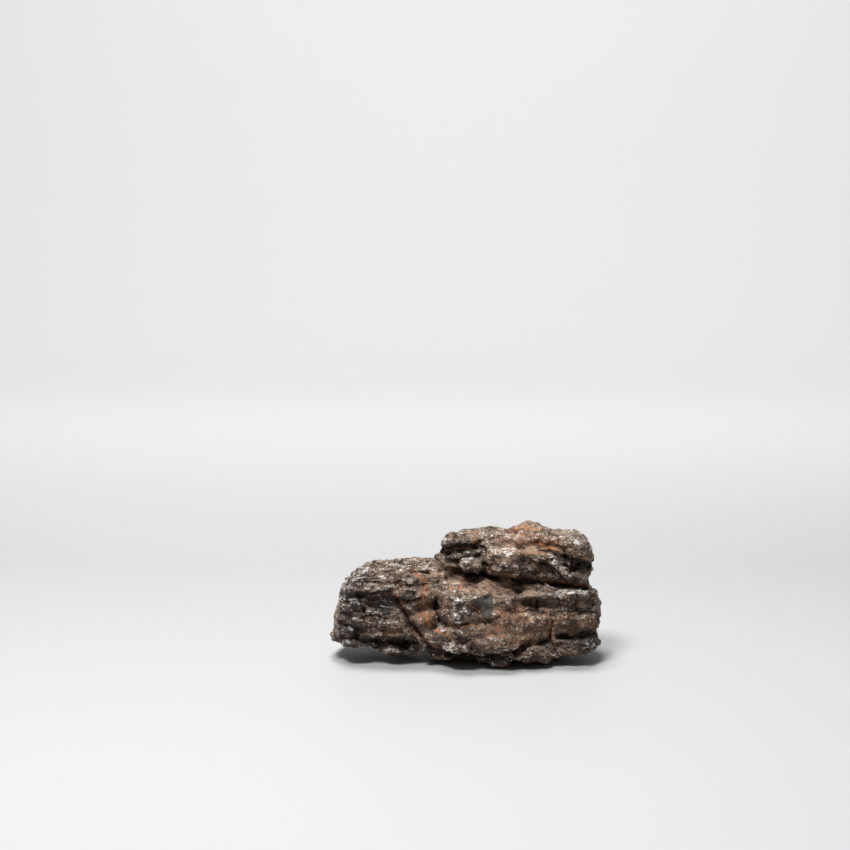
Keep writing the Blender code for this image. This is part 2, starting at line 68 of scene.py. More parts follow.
# The tables below are in millimetres and degrees, with X from the rock's middle and Z from what it stands on.
# A block goes from a ball to a box as square goes from 0 to 1.
Block = namedtuple("Block", "centre size square turn", defaults=[(0, 0, 0)])
BLOCKS = rows_of(Block, [
    # Lower tier: its body, the left block with its sloping shelf, the bulging middle and the right block
    ((2, 3, 27), (118, 56, 36), 0.5), ((-47, -4, 31), (46, 50, 30), 0.75, (0, -5, 3)),
    ((-61, -2, 22), (24, 44, 26), 0.6, (0, -12, 0)), ((-38, -2, 47), (62, 54, 12), 0.75, (6, 0, 0)),
    ((-6, 4, 46), (40, 40, 11), 0.6, (6, 2, 0)), ((-22, -12, 30), (26, 24, 26), 0.5, (0, 6, 0)),
    ((9, -17, 28), (52, 46, 40), 0.35, (10, 4, 0)), ((-1, -27, 28), (26, 22, 22), 0.55, (0, 12, 14)),
    ((22, -20, 20), (38, 38, 28), 0.4, (0, 6, 0)), ((47, -2, 33), (56, 48, 20), 0.8, (0, 0, -3)),
    ((50, -3, 37), (48, 50, 6), 0.85, (0, 3, -4)), ((48, -5, 24), (54, 50, 20), 0.6, (0, -3, -2)),
    # Underside: lips and knobs that hang clear of the ground at both ends
    ((-56, 0, 13.5), (43, 46, 8.5), 0.65, (0, 6, 0)), ((-42, -15, 9.5), (11, 14, 8), 0.3, (0, 0, 20)),
    ((-28, -18, 8), (7, 8, 10), 0.2), ((-16, -20, 11), (24, 16, 9), 0.5, (0, 24, 10)),
    ((-6, -6, 9), (36, 30, 14), 0.5, (0, -2, 6)), ((6, -16, 7), (14, 14, 9), 0.3),
    ((19, -21, 6), (14, 15, 12), 0.25, (0, 10, 0)), ((30, -16, 9), (16, 22, 12), 0.4),
    ((39, -14, 11.5), (22, 26, 19), 0.5, (0, -6, 6)), ((54, -4, 9.8), (47, 42, 8.5), 0.75, (0, -11, -4)),
    ((6, 3, 10), (50, 36, 22), 0.35, (0, 0, 8)),
    # Upper tier: the neck in the cleft below it, its body, the ridge on top and the cap at the right
    ((27, 5, 45), (74, 34, 12), 0.6, (0, 3, 0)), ((27, 5, 57), (80, 42, 20), 0.5, (0, 4, 0)),
    ((25, 5, 64), (68, 34, 12), 0.5, (0, -1, 0)), ((36, 5, 69), (17, 24, 9), 0.5, (0, -6, 10)),
    ((34, -7, 60), (46, 28, 15), 0.35, (16, 5, 0)), ((59, 1, 60), (27, 38, 21), 0.5, (0, 12, -8)),
    ((60, -2, 48), (22, 28, 18), 0.5, (0, 10, 0)),
    # Upper tier: lobes, flakes and boulders along its front
    ((-3, -2, 64), (22, 24, 11), 0.4, (0, -8, 10)), ((2, -8, 58), (20, 16, 9), 0.5, (10, -8, 0)),
    ((-6, -8, 55), (18, 18, 8), 0.5, (14, -10, 14)), ((3, -16, 55), (16, 14, 9), 0.4, (0, -14, 8)),
    ((20, -17, 57), (21, 19, 17), 0.4, (0, 4, 0)), ((46, -13, 55), (28, 16, 14), 0.45, (0, 18, 0)),
    # Back of both tiers, which stands in slabs with broken ends
    ((18, 25, 54), (58, 22, 12), 0.8, (0, 3, -5)), ((-16, 22, 43.5), (88, 34, 11), 0.85, (-3, 1, 4)),
    ((22, 30, 27), (88, 24, 12), 0.85, (0, -3, -3)), ((-26, 28, 20), (56, 26, 9), 0.8, (0, 4, 8)),
    ((30, 24, 13), (54, 30, 9), 0.8, (0, -5, -8)), ((48, 18, 34), (38, 28, 9), 0.8, (4, 2, -12)),
])
BLOCK_CUTS = 7
BLOCK_WOBBLE = 0.09
WOBBLES_ACROSS = 1.7
WOBBLE_SHIFT = 3.1

# Beds of the stone, each of which stands out or lies back by its own amount. Their levels dip along X and Y
# and warp by a noise with a height, a size and octaves. Outward tells how much a bed moves along each axis.
Beds = namedtuple("Beds", "thickness edge dip warp outward reach")
THICK_BEDS = Beds((3.2, 6.4), 0.7, (-0.05, 0.04), (2.4, 45, 2), (1, 1, 0), 1.5)
BED_RAGGED = 0.5
BED_RAGGED_SIZE = 14

# The stone breaks into chunks, large ones with small ones in them. Each one's face has its level and tilt.
Chunks = namedtuple("Chunks", "size step tilt")
CHUNKS = rows_of(Chunks, [((17, 17, 8), 1.0, 3.0), ((8, 8, 4.5), 0.55, 1.3)])
CHUNK_TURN = (12, -7, 31)
CHUNK_SPREAD = 0.45
CHUNK_REPEAT = 16

# Large broken faces: the stone beyond each plane, near its point, is gone. The normal points outward.
Facet = namedtuple("Facet", "point normal reach")
FACETS = rows_of(Facet, [
    ((-66, -5, 44), (-0.75, -0.1, 0.65), 22), ((-71, -10, 26), (-0.95, -0.2, 0.2), 26),
    ((-50, -28, 28), (-0.15, -0.98, 0.05), 16), ((72, -12, 32), (0.95, -0.3, 0.1), 16),
    ((-62, 24, 40), (-0.5, 0.8, 0.3), 26), ((60, 32, 30), (0.6, 0.78, 0.1), 26),
    ((10, 40, 30), (-0.1, 0.98, 0.15), 22), ((40, 34, 58), (0.3, 0.9, 0.3), 22),
])

# The front view looks down at the rock by VIEW_DIP from VIEW_DISTANCE. In it a place is X and a height up
# the view.
VIEW_DIP = math.radians(12)
VIEW_DISTANCE = 1300
VIEW_LEVEL = 34.5

# The rock's outline in the front view, from the tip of the lip at its lower left, clockwise
OUTLINE = [
    # Up the left end, along the shelf and up to the lobe of the upper tier
    (-75, 10), (-74, 16.5), (-72.5, 24.5), (-70, 35), (-67.5, 43.5), (-60.5, 48.5), (-55.5, 52), (-45, 53.5),
    (-33.5, 54.5), (-22.5, 54), (-19.5, 53), (-17, 57), (-14, 60), (-13, 65), (-10, 69),
    # Along the top, and down the right end
    (-2, 70), (9, 71), (19.5, 73), (25.5, 72.5), (38.5, 74.5), (43, 71), (50, 70), (62, 70), (67, 66),
    (70, 57), (69.5, 48.5), (67, 38.5), (71, 38), (74, 32), (74.5, 26), (73, 18.5), (72, 14), (75, 8),
    # Back along the underside
    (69, 4.5), (59.5, 1.5), (49, 1), (47, -2), (33.5, -3.5), (23, -4.5), (16, -5), (11, -1.5), (5.5, -3.5),
    (-1.5, -2), (-8, -1), (-18, 0), (-22.5, 4.5), (-27.5, -1.5), (-31, 2), (-44, 2), (-46.5, 4.5),
    (-54.5, 5), (-70, 7),
]

# The outline seen from above, in X and Y, of the whole rock and of its upper tier. The upper tier starts at
# a level that is TIER_LEVEL at X = 0 and rises by TIER_RISE along X.
PLAN = [
    (-75, -5), (-74.5, 6), (-69, 19), (-58, 29), (-40, 35), (-16, 39), (8, 44), (34, 42), (53, 35),
    (66, 25), (73, 12), (75, 0), (73, -12), (65, -22), (48, -27), (30, -31), (23, -38), (11, -42),
    (-4, -41), (-13, -35), (-22, -29), (-45, -28), (-61, -24), (-71, -15),
]
UPPER_PLAN = [
    (-17, -5), (-14, 8), (-4, 17), (16, 25), (40, 27), (57, 21), (68, 9), (71, -3), (66, -14), (55, -21),
    (38, -25), (20, -30), (4, -26), (-10, -18),
]
TIER_LEVEL = 50
TIER_RISE = -0.11

# Lumps raised on the front. A place and its half widths are in the front view; turn is anticlockwise.
Lump = namedtuple("Lump", "place half_widths height turn", defaults=[0])
LUMPS = rows_of(Lump, [
    # Upper tier: lobe, flakes, boulders, knob, slanting lens, ridge, end lump and cap
    ((-3, 65), (10, 4.8), 3.4, -4), ((2, 58), (8.5, 2.6), 2.6, -6), ((-5, 54), (8, 2.3), 2.6, -8),
    ((-14, 53), (4.8, 2.8), 2.2), ((2.5, 50), (7.5, 3.9), 3.6, -5), ((20, 53), (9.5, 9), 4),
    ((34, 47.5), (3.4, 3.2), 2.6), ((46, 54), (8, 3.6), 3.2, -28), ((50, 46), (9, 2.9), 2.6, -30),
    ((61, 43), (6, 5), 3), ((61, 63), (11, 7), 2.6, -10),
    # Lower tier, right: the rim of the ledge, the brown band, the slab and the lump below
    ((58, 36), (17, 2.8), 2.4, -4), ((60, 20), (14, 5.4), 2.6, -2), ((62, 9), (13, 4), 1.8, 12),
    ((36, 20), (9, 10), 1.8), ((39, 2.5), (10, 5.5), 2.6, 6),
    # Lower tier, middle: its grey shoulder, its rim and the knob it stands on
    ((-3.5, 26), (6.5, 6.5), 2.4), ((19, 8), (15, 5), 2.4, 3), ((-5, 5), (9, 3.6), 2.4, -8),
    ((18, -1), (7.5, 4), 2, -6),
    # Lower tier, left: the corner, the lip of the shelf, the lumps of the foot
    ((-62, 41), (6.5, 4), 1.8, 40), ((-48, 37.5), (11, 2), 2.6, -2), ((-66, 26), (4, 7), 1.8, 10),
    ((-64, 9), (12, 3), 2, -4), ((-44, 7.5), (8, 3.4), 2), ((-46, 20), (8, 2.4), 1.8, -4),
])

# Recesses: the skin inside the corners, in the front view, lies further back by its depth, with a sheer edge.
Recess = namedtuple("Recess", "corners depth")
RECESSES = rows_of(Recess, [
    ([(-56, 34), (-41.5, 35), (-37, 29), (-33, 24), (-40, 23), (-54, 26)], 4),
    ([(-62, 17), (-38, 17), (-31, 12.5), (-62, 11)], 2.6),
    ([(2, 30), (14.5, 35), (13.5, 19.5), (10, 18.5)], 2.2),
    ([(24, 32), (44, 33), (71, 32), (72, 27), (50, 25), (28, 26)], 2.6),
    ([(53, 54), (69, 52), (68, 46), (57, 47)], 3.2), ([(-14, 22), (-11, 29), (-7, 31), (-9, 14)], 2.4),
    ([(26, 62), (42, 65), (50, 60), (38, 58.5), (30, 57)], 1.4),
])
RECESS_EDGE = 0.6

# Grooves sunk in the skin: a route, in the front view or in space, a half width and a depth.
Groove = namedtuple("Groove", "route half_width depth")
FRONT_GROOVES = rows_of(Groove, [
    # The cleft between the tiers
    ([(-20, 52), (-6, 47.5), (2, 46.5), (19, 44), (30, 43), (41, 41.5), (52, 40), (66, 38)], 1, 3.4),
    # The clefts under the lobe at the left of the upper tier
    ([(-17, 58), (-9, 57), (0, 61), (9, 60)], 0.8, 2.6), ([(-11, 52.5), (-3, 52.5), (8, 55)], 0.7, 2),
    ([(9, 54), (10.5, 50), (9, 46)], 0.7, 2.2),
    # The grooves over the slanting lens and over the recess under the cap
    ([(37, 58), (42, 59.5), (49, 57), (58, 49)], 0.7, 2.2), ([(52, 56), (60, 55), (69, 52)], 0.9, 2),
    # The split down the front of the left block
    ([(-43, 37.5), (-34, 26), (-30, 17), (-25, 11), (-20, 5)], 0.8, 3),
    # The deep dark belt that undercuts the left block
    ([(-66, 12), (-56, 10), (-40, 9), (-26, 7)], 1.3, 3.6),
    # The hollow left of the bulging middle, and the edge under it
    ([(-22, 34), (-15, 27), (-12, 18), (-2, 8)], 1.6, 2.6),
    ([(-10, 1.5), (2, 1.5), (12, 2.5), (27, 2), (34, 8), (46, 10)], 1, 3),
    # The joints of the dark face under the right ledge, and the cleft over the lowest slab
    ([(49, 34), (50, 25)], 0.6, 1.4), ([(62, 33), (61, 26)], 0.6, 1.2),
    ([(48, 12), (52, 13), (60, 14), (73, 15)], 0.9, 3), ([(46, 17), (46, 8), (48, -1)], 1, 3),
])
SIDE_GROOVES = rows_of(Groove, [
    ([(66, -12, 40), (70, 0, 41), (68, 14, 43)], 1.6, 4),
    ([(-18, 4, 53), (-14, 18, 51), (10, 30, 48), (50, 32, 46)], 1.6, 3),
])

# How far the edges of lumps, recesses and grooves wander, and over what distance
EDGE_WANDER = 0.7
EDGE_WANDER_SIZE = 6

# What is done in the front view fades where the skin turns away, and from FRONT_REACH back over FRONT_FADE.
FRONT_TURN = 0.2
FRONT_SLOPE = 1.6
FRONT_REACH = 10
FRONT_FADE = 8

ROUGHNESS = 0.7
ROUGH_SIZE = 6
FOOT_LEVEL = 1
SHARP_EDGE = math.radians(30)
SEED = 11


# Finer work than the solid has, in millimetres. First the stone that fills part of the hollow left of the
# bulge, of the cleft between the tiers and of a gap under the left block
FILLING = rows_of(Block, [
    ((-20, -15, 26), (20, 22, 30), 0.5), ((-15, -13, 35), (14, 22, 14), 0.5),
    ((23, -4, 46), (24, 22, 6), 0.5), ((48, -5, 43), (32, 24, 6), 0.5), ((-33, 2, 9), (14, 16, 10), 0.5),
])
FINE_CHUNKS = rows_of(Chunks, [((6.4, 6.4, 3.2), 0.62, 1.4), ((3.4, 3.4, 2.0), 0.30, 0.8)])
# How much weaker the small chunks are where the stone is sandy, and how strong they are away from the front
SMOOTHER = 0.75
SIDE_ROUGHNESS = 0.65
# Thin beds, how much their amounts change along them and over what distance
THIN_BEDS = Beds((1.3, 2.9), 0.3, (0.05, -0.04), (2.2, 26, 3), (1, 1, 0.25), 0.75)
THIN_CHANGE = 1.2
THIN_CHANGE_SIZE = 9
# Away from the front they show by a noise: its middle, its change and its most
THIN_ELSEWHERE = (0.45, 0.7, 0.8)
THIN_ELSEWHERE_SIZE = 24
# What stands out or lies in by more than this, against its smoothed surroundings, is worn down or filled
MOST_OUT = 0.55
MOST_IN = 1.1
WEAR_ROUNDS = (12, 12, 6)
# The last roughness: sizes and heights, and the level that its noise is taken from
FINE_NOISES = [(2.6, 0.20), (1.1, 0.12)]
FINE_NOISE_LEVEL = 0.35

# Markings are placed by the photograph's pixels, in the front view. PIXEL_SIZE is a pixel at the rock's
# middle, in millimetres, and MIDDLE_PIXEL is where the level that the rock stands on shows below its middle.
PIXEL_SIZE = 0.5515
MIDDLE_PIXEL = (466, 657.6)

# A patch is an ellipse: a pixel, half widths in pixels, a strength and an anticlockwise turn.
Patch = namedtuple("Patch", "pixel half_widths strength turn", defaults=[0])
DARK_PATCHES = rows_of(Patch, [
    ((350, 602), (13, 20), 0.8, 8), ((383, 603), (14, 9), 0.6), ((352, 630), (20, 9), 0.75),
    ((362, 642), (30, 7), 0.9, -4), ((407, 598), (9, 9), 0.6), ((398, 645), (12, 7), 0.7),
    ((433, 652), (12, 6), 0.6), ((538, 604), (27, 6), 0.3), ((576, 604), (24, 6), 0.3),
    ((583, 642), (20, 7), 0.8, 10), ((500, 660), (14, 6), 0.8), ((470, 660), (12, 4), 0.7),
    ((577, 545), (16, 11), 0.15), ((512, 632), (30, 16), 0.42), ((456, 541), (14, 7), 0.35),
    ((551, 560), (11, 5), 0.35, -28), ((470, 567), (12, 6), 0.15), ((503, 568), (13, 8), 0.15),
    ((580, 572), (11, 10), 0.5), ((459, 611), (10, 12), 0.5), ((430, 590), (9, 8), 0.35),
])
BROWN_PATCHES = rows_of(Patch, [
    ((528, 546), (34, 12), 0.9), ((520, 529), (22, 5), 0.8), ((490, 588), (40, 8), 0.9, -4),
    ((440, 578), (22, 9), 0.6), ((512, 628), (26, 20), 0.9), ((577, 622), (24, 9), 0.8),
    ((380, 633), (20, 4), 0.8), ((430, 610), (12, 16), 0.7), ((545, 622), (14, 14), 0.7),
    ((500, 556), (14, 9), 0.5), ((400, 575), (26, 7), 0.5),
])
# Pale dust; some patches on the upper tier and its cap also paint light where it lies in shade
DUST_AND_LIGHT_PATCHES = rows_of(Patch, [
    ((573, 593), (28, 4), 0.9, -3), ((597, 600), (6, 9), 0.8), ((353, 581), (12, 10), 0.8, 30),
    ((379, 590), (15, 3), 0.8), ((340, 596), (6, 14), 0.4, 8), ((397, 567), (34, 7), 0.45),
    ((457, 612), (10, 13), 0.8), ((454, 648), (15, 6), 0.9, -14), ((510, 648), (22, 5), 0.45),
    ((500, 657), (15, 4), 0.9), ((337, 640), (12, 5), 0.5), ((388, 651), (14, 3), 0.7),
    ((392, 626), (7, 6), 0.8, 40), ((580, 540), (17, 9), 0.75, -20), ((512, 535), (30, 5), 0.45),
    ((456, 533), (14, 4), 0.5), ((526, 568), (5, 8), 0.9), ((564, 571), (8, 5), 0.8, -30),
    ((503, 540), (10, 8), 0.7), ((576, 550), (14, 7), 0.55), ((490, 552), (24, 8), 0.65),
    ((468, 566), (12, 5), 0.75), ((512, 563), (20, 8), 0.5), ((541, 625), (8, 7), 0.5),
    ((554, 560), (6, 4), 0.4, -28), ((532, 585), (12, 4), 0.45), ((474, 567), (7, 4), 0.45),
    ((595, 556), (4, 14), 0.6), ((594, 648), (8, 5), 0.5, 20),
])
# A line is a run of pixels with a half width in millimetres.
Line = namedtuple("Line", "pixels half_width")
VEINS = rows_of(Line, [
    ([(413, 570), (418, 575), (421, 578), (426, 586), (424, 593), (423, 600), (424, 612), (428, 624)], 0.7),
    ([(428, 624), (433, 630), (440, 635), (450, 639)], 0.6), ([(424, 613), (413, 620), (405, 611)], 0.35),
    ([(391, 575), (394, 590), (405, 610), (411, 623)], 0.25),
    ([(413, 631), (424, 643), (431, 648), (441, 651)], 0.5),
    ([(470, 604), (476, 612), (484, 622), (488, 625)], 0.4),
    ([(483, 573), (500, 576), (520, 579), (545, 581), (562, 583), (585, 587)], 0.3),
    ([(544, 562), (547, 550), (560, 552), (575, 556), (591, 561)], 0.3),
    ([(473, 532), (475, 541), (471, 550)], 0.5), ([(461, 578), (461, 590)], 0.7),
    ([(436, 556), (447, 551), (462, 549), (480, 551)], 0.25), ([(512, 531), (528, 528), (540, 532)], 0.5),
    ([(539, 544), (548, 548), (556, 551)], 0.7), ([(444, 598), (447, 612), (449, 628)], 0.35),
    ([(458, 627), (470, 627), (482, 628)], 0.4), ([(551, 610), (552, 627), (550, 642)], 0.3),
])
CRACKS = rows_of(Line, [
    # The split down the left block, open and black at its foot
    ([(391, 593), (399, 603), (405, 613), (411, 625)], 0.5),
    ([(411, 625), (419, 634), (422, 641), (431, 650)], 0.8),
    # Around the boulders, the lens and the recess of the upper tier
    ([(486, 553), (483, 560), (486, 567), (492, 576)], 0.35),
    ([(446, 561), (458, 561), (466, 558), (479, 556)], 0.5),
    ([(439, 553), (447, 549), (462, 547), (478, 546), (486, 550)], 0.8),
    ([(539, 552), (550, 552), (560, 559), (568, 569)], 0.5),
    ([(541, 563), (548, 568), (556, 572), (563, 580)], 0.5), ([(572, 557), (572, 567)], 0.35),
    ([(579, 558), (579, 568)], 0.35), ([(564, 556), (577, 560), (589, 565)], 0.6),
    # The bands of the right block, and the joint and slab below them
    ([(558, 598), (560, 610)], 0.3), ([(575, 599), (575, 611)], 0.3), ([(536, 599), (536, 611)], 0.3),
    ([(512, 613), (536, 611), (554, 613), (598, 613)], 0.35),
    ([(551, 613), (552, 627), (549, 640), (553, 651)], 0.4), ([(556, 635), (575, 637), (597, 636)], 0.7),
    ([(520, 654), (530, 647), (545, 642)], 0.5),
    # The beds of the left block and of its shelf
    ([(357, 596), (374, 594), (391, 592)], 0.7), ([(357, 597), (360, 607), (364, 615)], 0.4),
    ([(345, 604), (358, 603), (369, 605)], 0.4), ([(362, 618), (376, 617), (388, 620)], 0.5),
    ([(338, 625), (350, 627), (360, 631)], 0.4), ([(408, 573), (419, 573), (430, 574)], 0.5),
    ([(400, 587), (414, 587), (428, 586)], 0.4), ([(346, 586), (362, 584), (380, 583), (396, 584)], 0.3),
    ([(398, 599), (410, 602), (421, 600)], 0.5),
    # The left rim of the bulge, its foot, and the small slabs left of it
    ([(437, 599), (435, 610), (439, 621), (447, 629)], 0.6), ([(449, 624), (457, 626), (467, 625)], 0.3),
    ([(462, 655), (484, 658), (500, 655), (514, 652), (522, 647)], 0.6),
    ([(427, 650), (440, 651), (452, 655)], 0.6),
])
# Painted shade along what lies in deep shade, and painted highlights, with pale dust, along edges
SHADE_LINES = rows_of(Line, [
    ([(339, 638), (360, 640), (385, 642), (409, 644)], 1.6), ([(393, 600), (402, 612), (410, 625)], 1.2),
    ([(396, 646), (410, 648), (425, 652)], 2), ([(538, 582), (556, 584), (575, 587), (589, 589)], 0.8),
    ([(486, 578), (500, 579), (520, 581), (540, 583)], 0.3),
    ([(512, 602), (530, 601), (548, 600), (566, 602), (592, 602)], 0.4),
    ([(438, 599), (437, 608), (440, 618)], 0.8), ([(447, 562), (457, 564), (460, 573)], 0.7),
    ([(436, 558), (447, 559), (456, 560), (470, 557)], 0.7), ([(566, 560), (577, 563), (588, 567)], 1.8),
    ([(441, 553), (458, 550), (476, 550)], 1.4), ([(455, 575), (470, 574), (484, 578)], 0.9),
    ([(555, 637), (575, 639), (596, 638)], 1), ([(430, 653), (445, 656), (470, 658)], 1.6),
    ([(357, 598), (373, 597), (390, 596)], 1),
])
# Painted highlights, with pale dust, along edges that catch the light
PALE_LINES = rows_of(Line, [
    ([(370, 597), (380, 597), (391, 596)], 0.4), ([(345, 589), (353, 583), (368, 580), (388, 578)], 0.6),
    ([(351, 577), (368, 571), (382, 567), (398, 567)], 0.6),
    ([(349, 594), (360, 592), (377, 592), (391, 590)], 0.9), ([(360, 586), (378, 584), (392, 584)], 0.5),
    ([(334, 612), (337, 600), (343, 587), (350, 577)], 0.8),
    ([(398, 593), (408, 591), (421, 593), (430, 597)], 0.8), ([(402, 581), (413, 583), (424, 586)], 0.5),
    ([(362, 614), (377, 613), (388, 616)], 0.5), ([(345, 601), (357, 601), (368, 603)], 0.4),
    ([(360, 630), (362, 636)], 0.4), ([(331, 642), (345, 646), (365, 650), (383, 654), (396, 652)], 0.8),
    ([(408, 637), (413, 645), (424, 651)], 0.4), ([(549, 590), (566, 592), (590, 590), (600, 598)], 0.9),
    ([(553, 615), (575, 617), (596, 616)], 0.4), ([(556, 626), (575, 623), (597, 625)], 0.4),
    ([(560, 651), (578, 652), (598, 646)], 0.6), ([(590, 558), (592, 546), (586, 538), (575, 533)], 0.9),
    ([(541, 557), (549, 556), (557, 562)], 0.5), ([(545, 561), (553, 565), (560, 573)], 0.5),
    ([(556, 566), (563, 571), (570, 580)], 0.6), ([(443, 545), (450, 536), (462, 533)], 0.8),
    ([(449, 556), (458, 553), (464, 554)], 0.5), ([(460, 561), (470, 558), (480, 560)], 0.6),
    ([(484, 658), (488, 664), (498, 666), (510, 662)], 0.5), ([(446, 645), (452, 652), (462, 653)], 0.8),
    ([(430, 655), (445, 657), (452, 655)], 0.4), ([(448, 600), (456, 597), (466, 600)], 0.9),
    ([(500, 547), (508, 552), (517, 549)], 0.8),
])

# The smooth dark face on the front of the bulge
DARK_FACE = [(469, 603), (493, 592), (492, 623), (486, 627)]

# Lumps and recesses finer than the solid's, with places and half widths in pixels. Heights and depths stay in
# millimetres.
FINE_LUMPS = rows_of(Lump, [
    # Upper tier: lobe, boulders, knob, lens with its tail, block under the recess, cap and ridge
    ((455, 541), (15, 9), 0.9), ((455, 556), (9, 4.5), 1.6, 4), ((445, 567), (8, 6), 1.8),
    ((471, 564), (14, 8), 2.6, -4), ((510, 563), (26, 14), 3, -3), ((527, 569), (3.5, 5), 2),
    ((549, 560), (13, 6), 2.8, -30), ((561, 572), (8, 4.5), 2, -36), ((575, 573), (8, 4.5), 2, 4),
    ((578, 543), (18, 13), 1.8, -8), ((527, 533), (22, 7), 1),
    # Right of the lower tier: rim, brown band, lump and slab
    ((575, 593), (29, 5), 1.8, -3), ((577, 622), (24, 9), 1.6), ((582, 645), (20, 8), 1.8, 12),
    ((538, 653), (17, 8), 2, -6), ((498, 660), (15, 7), 1.8),
    # Middle: grey shoulder, flakes, pale lumps
    ((457, 611), (12, 14), 1.8), ((461, 630), (6, 5), 1.4), ((454, 647), (8, 6), 1.8, -10),
    ((411, 596), (12, 5), 1.6, -6), ((420, 569), (11, 4.5), 1.4),
    # Left block: corner, face inside the window, brown step, pale lump and lip
    ((351, 587), (13, 8), 1.2, 40), ((384, 605), (13, 7), 1), ((381, 634), (22, 3.5), 2),
    ((393, 627), (8, 6), 1.4), ((345, 628), (13, 7), 1), ((352, 647), (22, 4), 1.6, -8),
    ((388, 651), (13, 4), 1.4),
])
FINE_RECESSES = rows_of(Recess, [
    # The window, the dark belt, the clefts under the lobe, under the cap and between the tiers
    ([(356, 595), (391, 593), (403, 608), (388, 617), (362, 613)], 2.2),
    ([(338, 636), (360, 639), (405, 641), (408, 647), (380, 646), (340, 641)], 3.4),
    ([(446, 551), (466, 547), (480, 549), (466, 552), (450, 554)], 1.2),
    ([(564, 556), (590, 563), (588, 568), (566, 566)], 2.6),
    ([(545, 581), (588, 586), (586, 590), (556, 588), (541, 586)], 0.8),
    # The rusty hollow left of the bulge, and the gaps over the lower slab and under the bulge
    ([(438, 597), (446, 598), (444, 612), (437, 610)], 0.8),
    ([(556, 633), (596, 635), (590, 638), (560, 638)], 2.2),
    ([(484, 657), (512, 654), (524, 648), (530, 650), (516, 658), (486, 660)], 1.8),
])

# A ledge is a run of pixels from left to right. The skin stands out by its rise just above the line and lies
# back by its fall just below, both in millimetres and both fading over its width.
Ledge = namedtuple("Ledge", "pixels rise fall width")
LEDGES = rows_of(Ledge, [
    # Left block: beds of the shelf, its rim, and the small ledges of the face
    ([(351, 576), (368, 570), (382, 566), (398, 567)], 0.5, 0.5, 1.6),
    ([(345, 585), (353, 582), (368, 579), (388, 577), (402, 580)], 0.7, 0.6, 1.8),
    ([(360, 587), (377, 585), (391, 584), (398, 588)], 0.6, 0.6, 1.4),
    ([(346, 592), (352, 595), (368, 593), (391, 591)], 1.3, 1.8, 2.2),
    ([(397, 594), (408, 592), (421, 594), (430, 597)], 1, 1.4, 2),
    ([(398, 583), (410, 584), (424, 585)], 0.5, 0.5, 1.2),
    ([(408, 571), (418, 570), (430, 572)], 0.7, 0.9, 1.2),
    ([(415, 578), (427, 580), (438, 585)], 0.5, 0.5, 1.2),
    ([(346, 602), (357, 602), (368, 604)], 0.8, 0.9, 1.6),
    ([(340, 611), (352, 612), (364, 610)], 0.6, 0.8, 1.5),
    ([(361, 616), (377, 615), (388, 618)], 1, 1.2, 1.6),
    ([(366, 623), (380, 622), (390, 620)], 0.6, 0.8, 1.4),
    ([(335, 623), (346, 625), (359, 628)], 0.7, 0.6, 1.8),
    ([(333, 634), (345, 636), (358, 636)], 1, 1.8, 1.8),
    ([(359, 637), (381, 639), (404, 639)], 1.6, 2, 1.6),
    # Middle: the edge over the underside, and the shelf over the bulge
    ([(427, 650), (442, 650), (455, 654), (470, 655), (484, 656)], 0.8, 1.4, 1.8),
    ([(446, 600), (456, 599), (468, 600)], 0.5, 0.4, 2),
    ([(484, 656), (497, 655), (512, 653), (520, 649)], 1, 1.4, 1.6),
    # Upper tier: under the lobe, the boulders, the cap and the lens, and along the cleft
    ([(440, 552), (448, 548), (464, 546), (478, 545)], 1.2, 1.8, 2),
    ([(450, 562), (458, 561), (466, 563)], 0.9, 1, 1.2),
    ([(457, 573), (470, 572), (483, 575)], 1.2, 1.6, 1.4),
    ([(486, 576), (500, 577), (517, 578), (533, 580)], 1.6, 1.8, 1.8),
    ([(533, 580), (549, 581), (571, 584), (589, 587)], 1.2, 2.2, 1.8),
    ([(549, 549), (560, 554), (574, 557), (590, 562)], 1.2, 1.6, 1.6),
    ([(540, 563), (548, 565), (556, 568), (566, 577)], 1, 1.2, 1.3),
    ([(566, 577), (574, 578), (584, 578)], 0.6, 0.8, 1.2),
    ([(492, 545), (503, 541), (520, 543)], 0.5, 0.4, 1.6),
    # Right of the lower tier: its rim, its bands and the slab below them
    ([(512, 599), (530, 597), (548, 596), (566, 599), (590, 598), (601, 601)], 0.9, 0.5, 2),
    ([(553, 635), (574, 636), (597, 635)], 1, 1.6, 1.6),
    ([(556, 619), (575, 617), (597, 619)], 0.4, 0.3, 1.2),
    ([(556, 626), (575, 625), (597, 626)], 0.4, 0.3, 1.2),
    ([(566, 646), (584, 646), (600, 644)], 0.5, 0.5, 1.3),
    ([(523, 662), (538, 661), (552, 659)], 0.5, 0.6, 1.2),
])
# A ledge fades at both its ends over this distance.
LEDGE_ENDS = 2
# Ledges, cracks, veins and patches wander: the sizes of the wander and how far it goes, in millimetres
LEDGE_WANDERS = [(9.0, 0.9), (4.0, 0.6), (1.7, 0.3)]
# A crack is made this many times as wide and as deep as its half width.
CRACK_SPREAD = 1.3
CRACK_DEPTH = 2.6

# Where the stone shows thin beds, and where it is sandy
BEDDED_PATCHES = rows_of(Patch, [
    ((378, 577), (50, 15), 1), ((363, 615), (34, 26), 0.9), ((430, 580), (34, 10), 0.8),
    ((576, 594), (32, 6), 0.5), ((577, 622), (26, 10), 0.6), ((458, 543), (20, 12), 0.5),
    ((551, 561), (14, 7), 0.9, 28), ((585, 645), (18, 8), 0.7, 10), ((420, 645), (14, 8), 0.6),
])
SANDY_PATCHES = rows_of(Patch, [
    ((508, 628), (38, 26), 1), ((430, 615), (16, 22), 0.7), ((490, 588), (44, 9), 0.9),
    ((520, 545), (36, 18), 0.7), ((580, 545), (16, 15), 0.6), ((590, 575), (8, 16), 0.6),
    ((380, 604), (17, 8), 0.5), ((382, 634), (22, 4), 0.8), ((457, 611), (12, 13), 0.5),
    ((550, 604), (40, 7), 0.5),
])

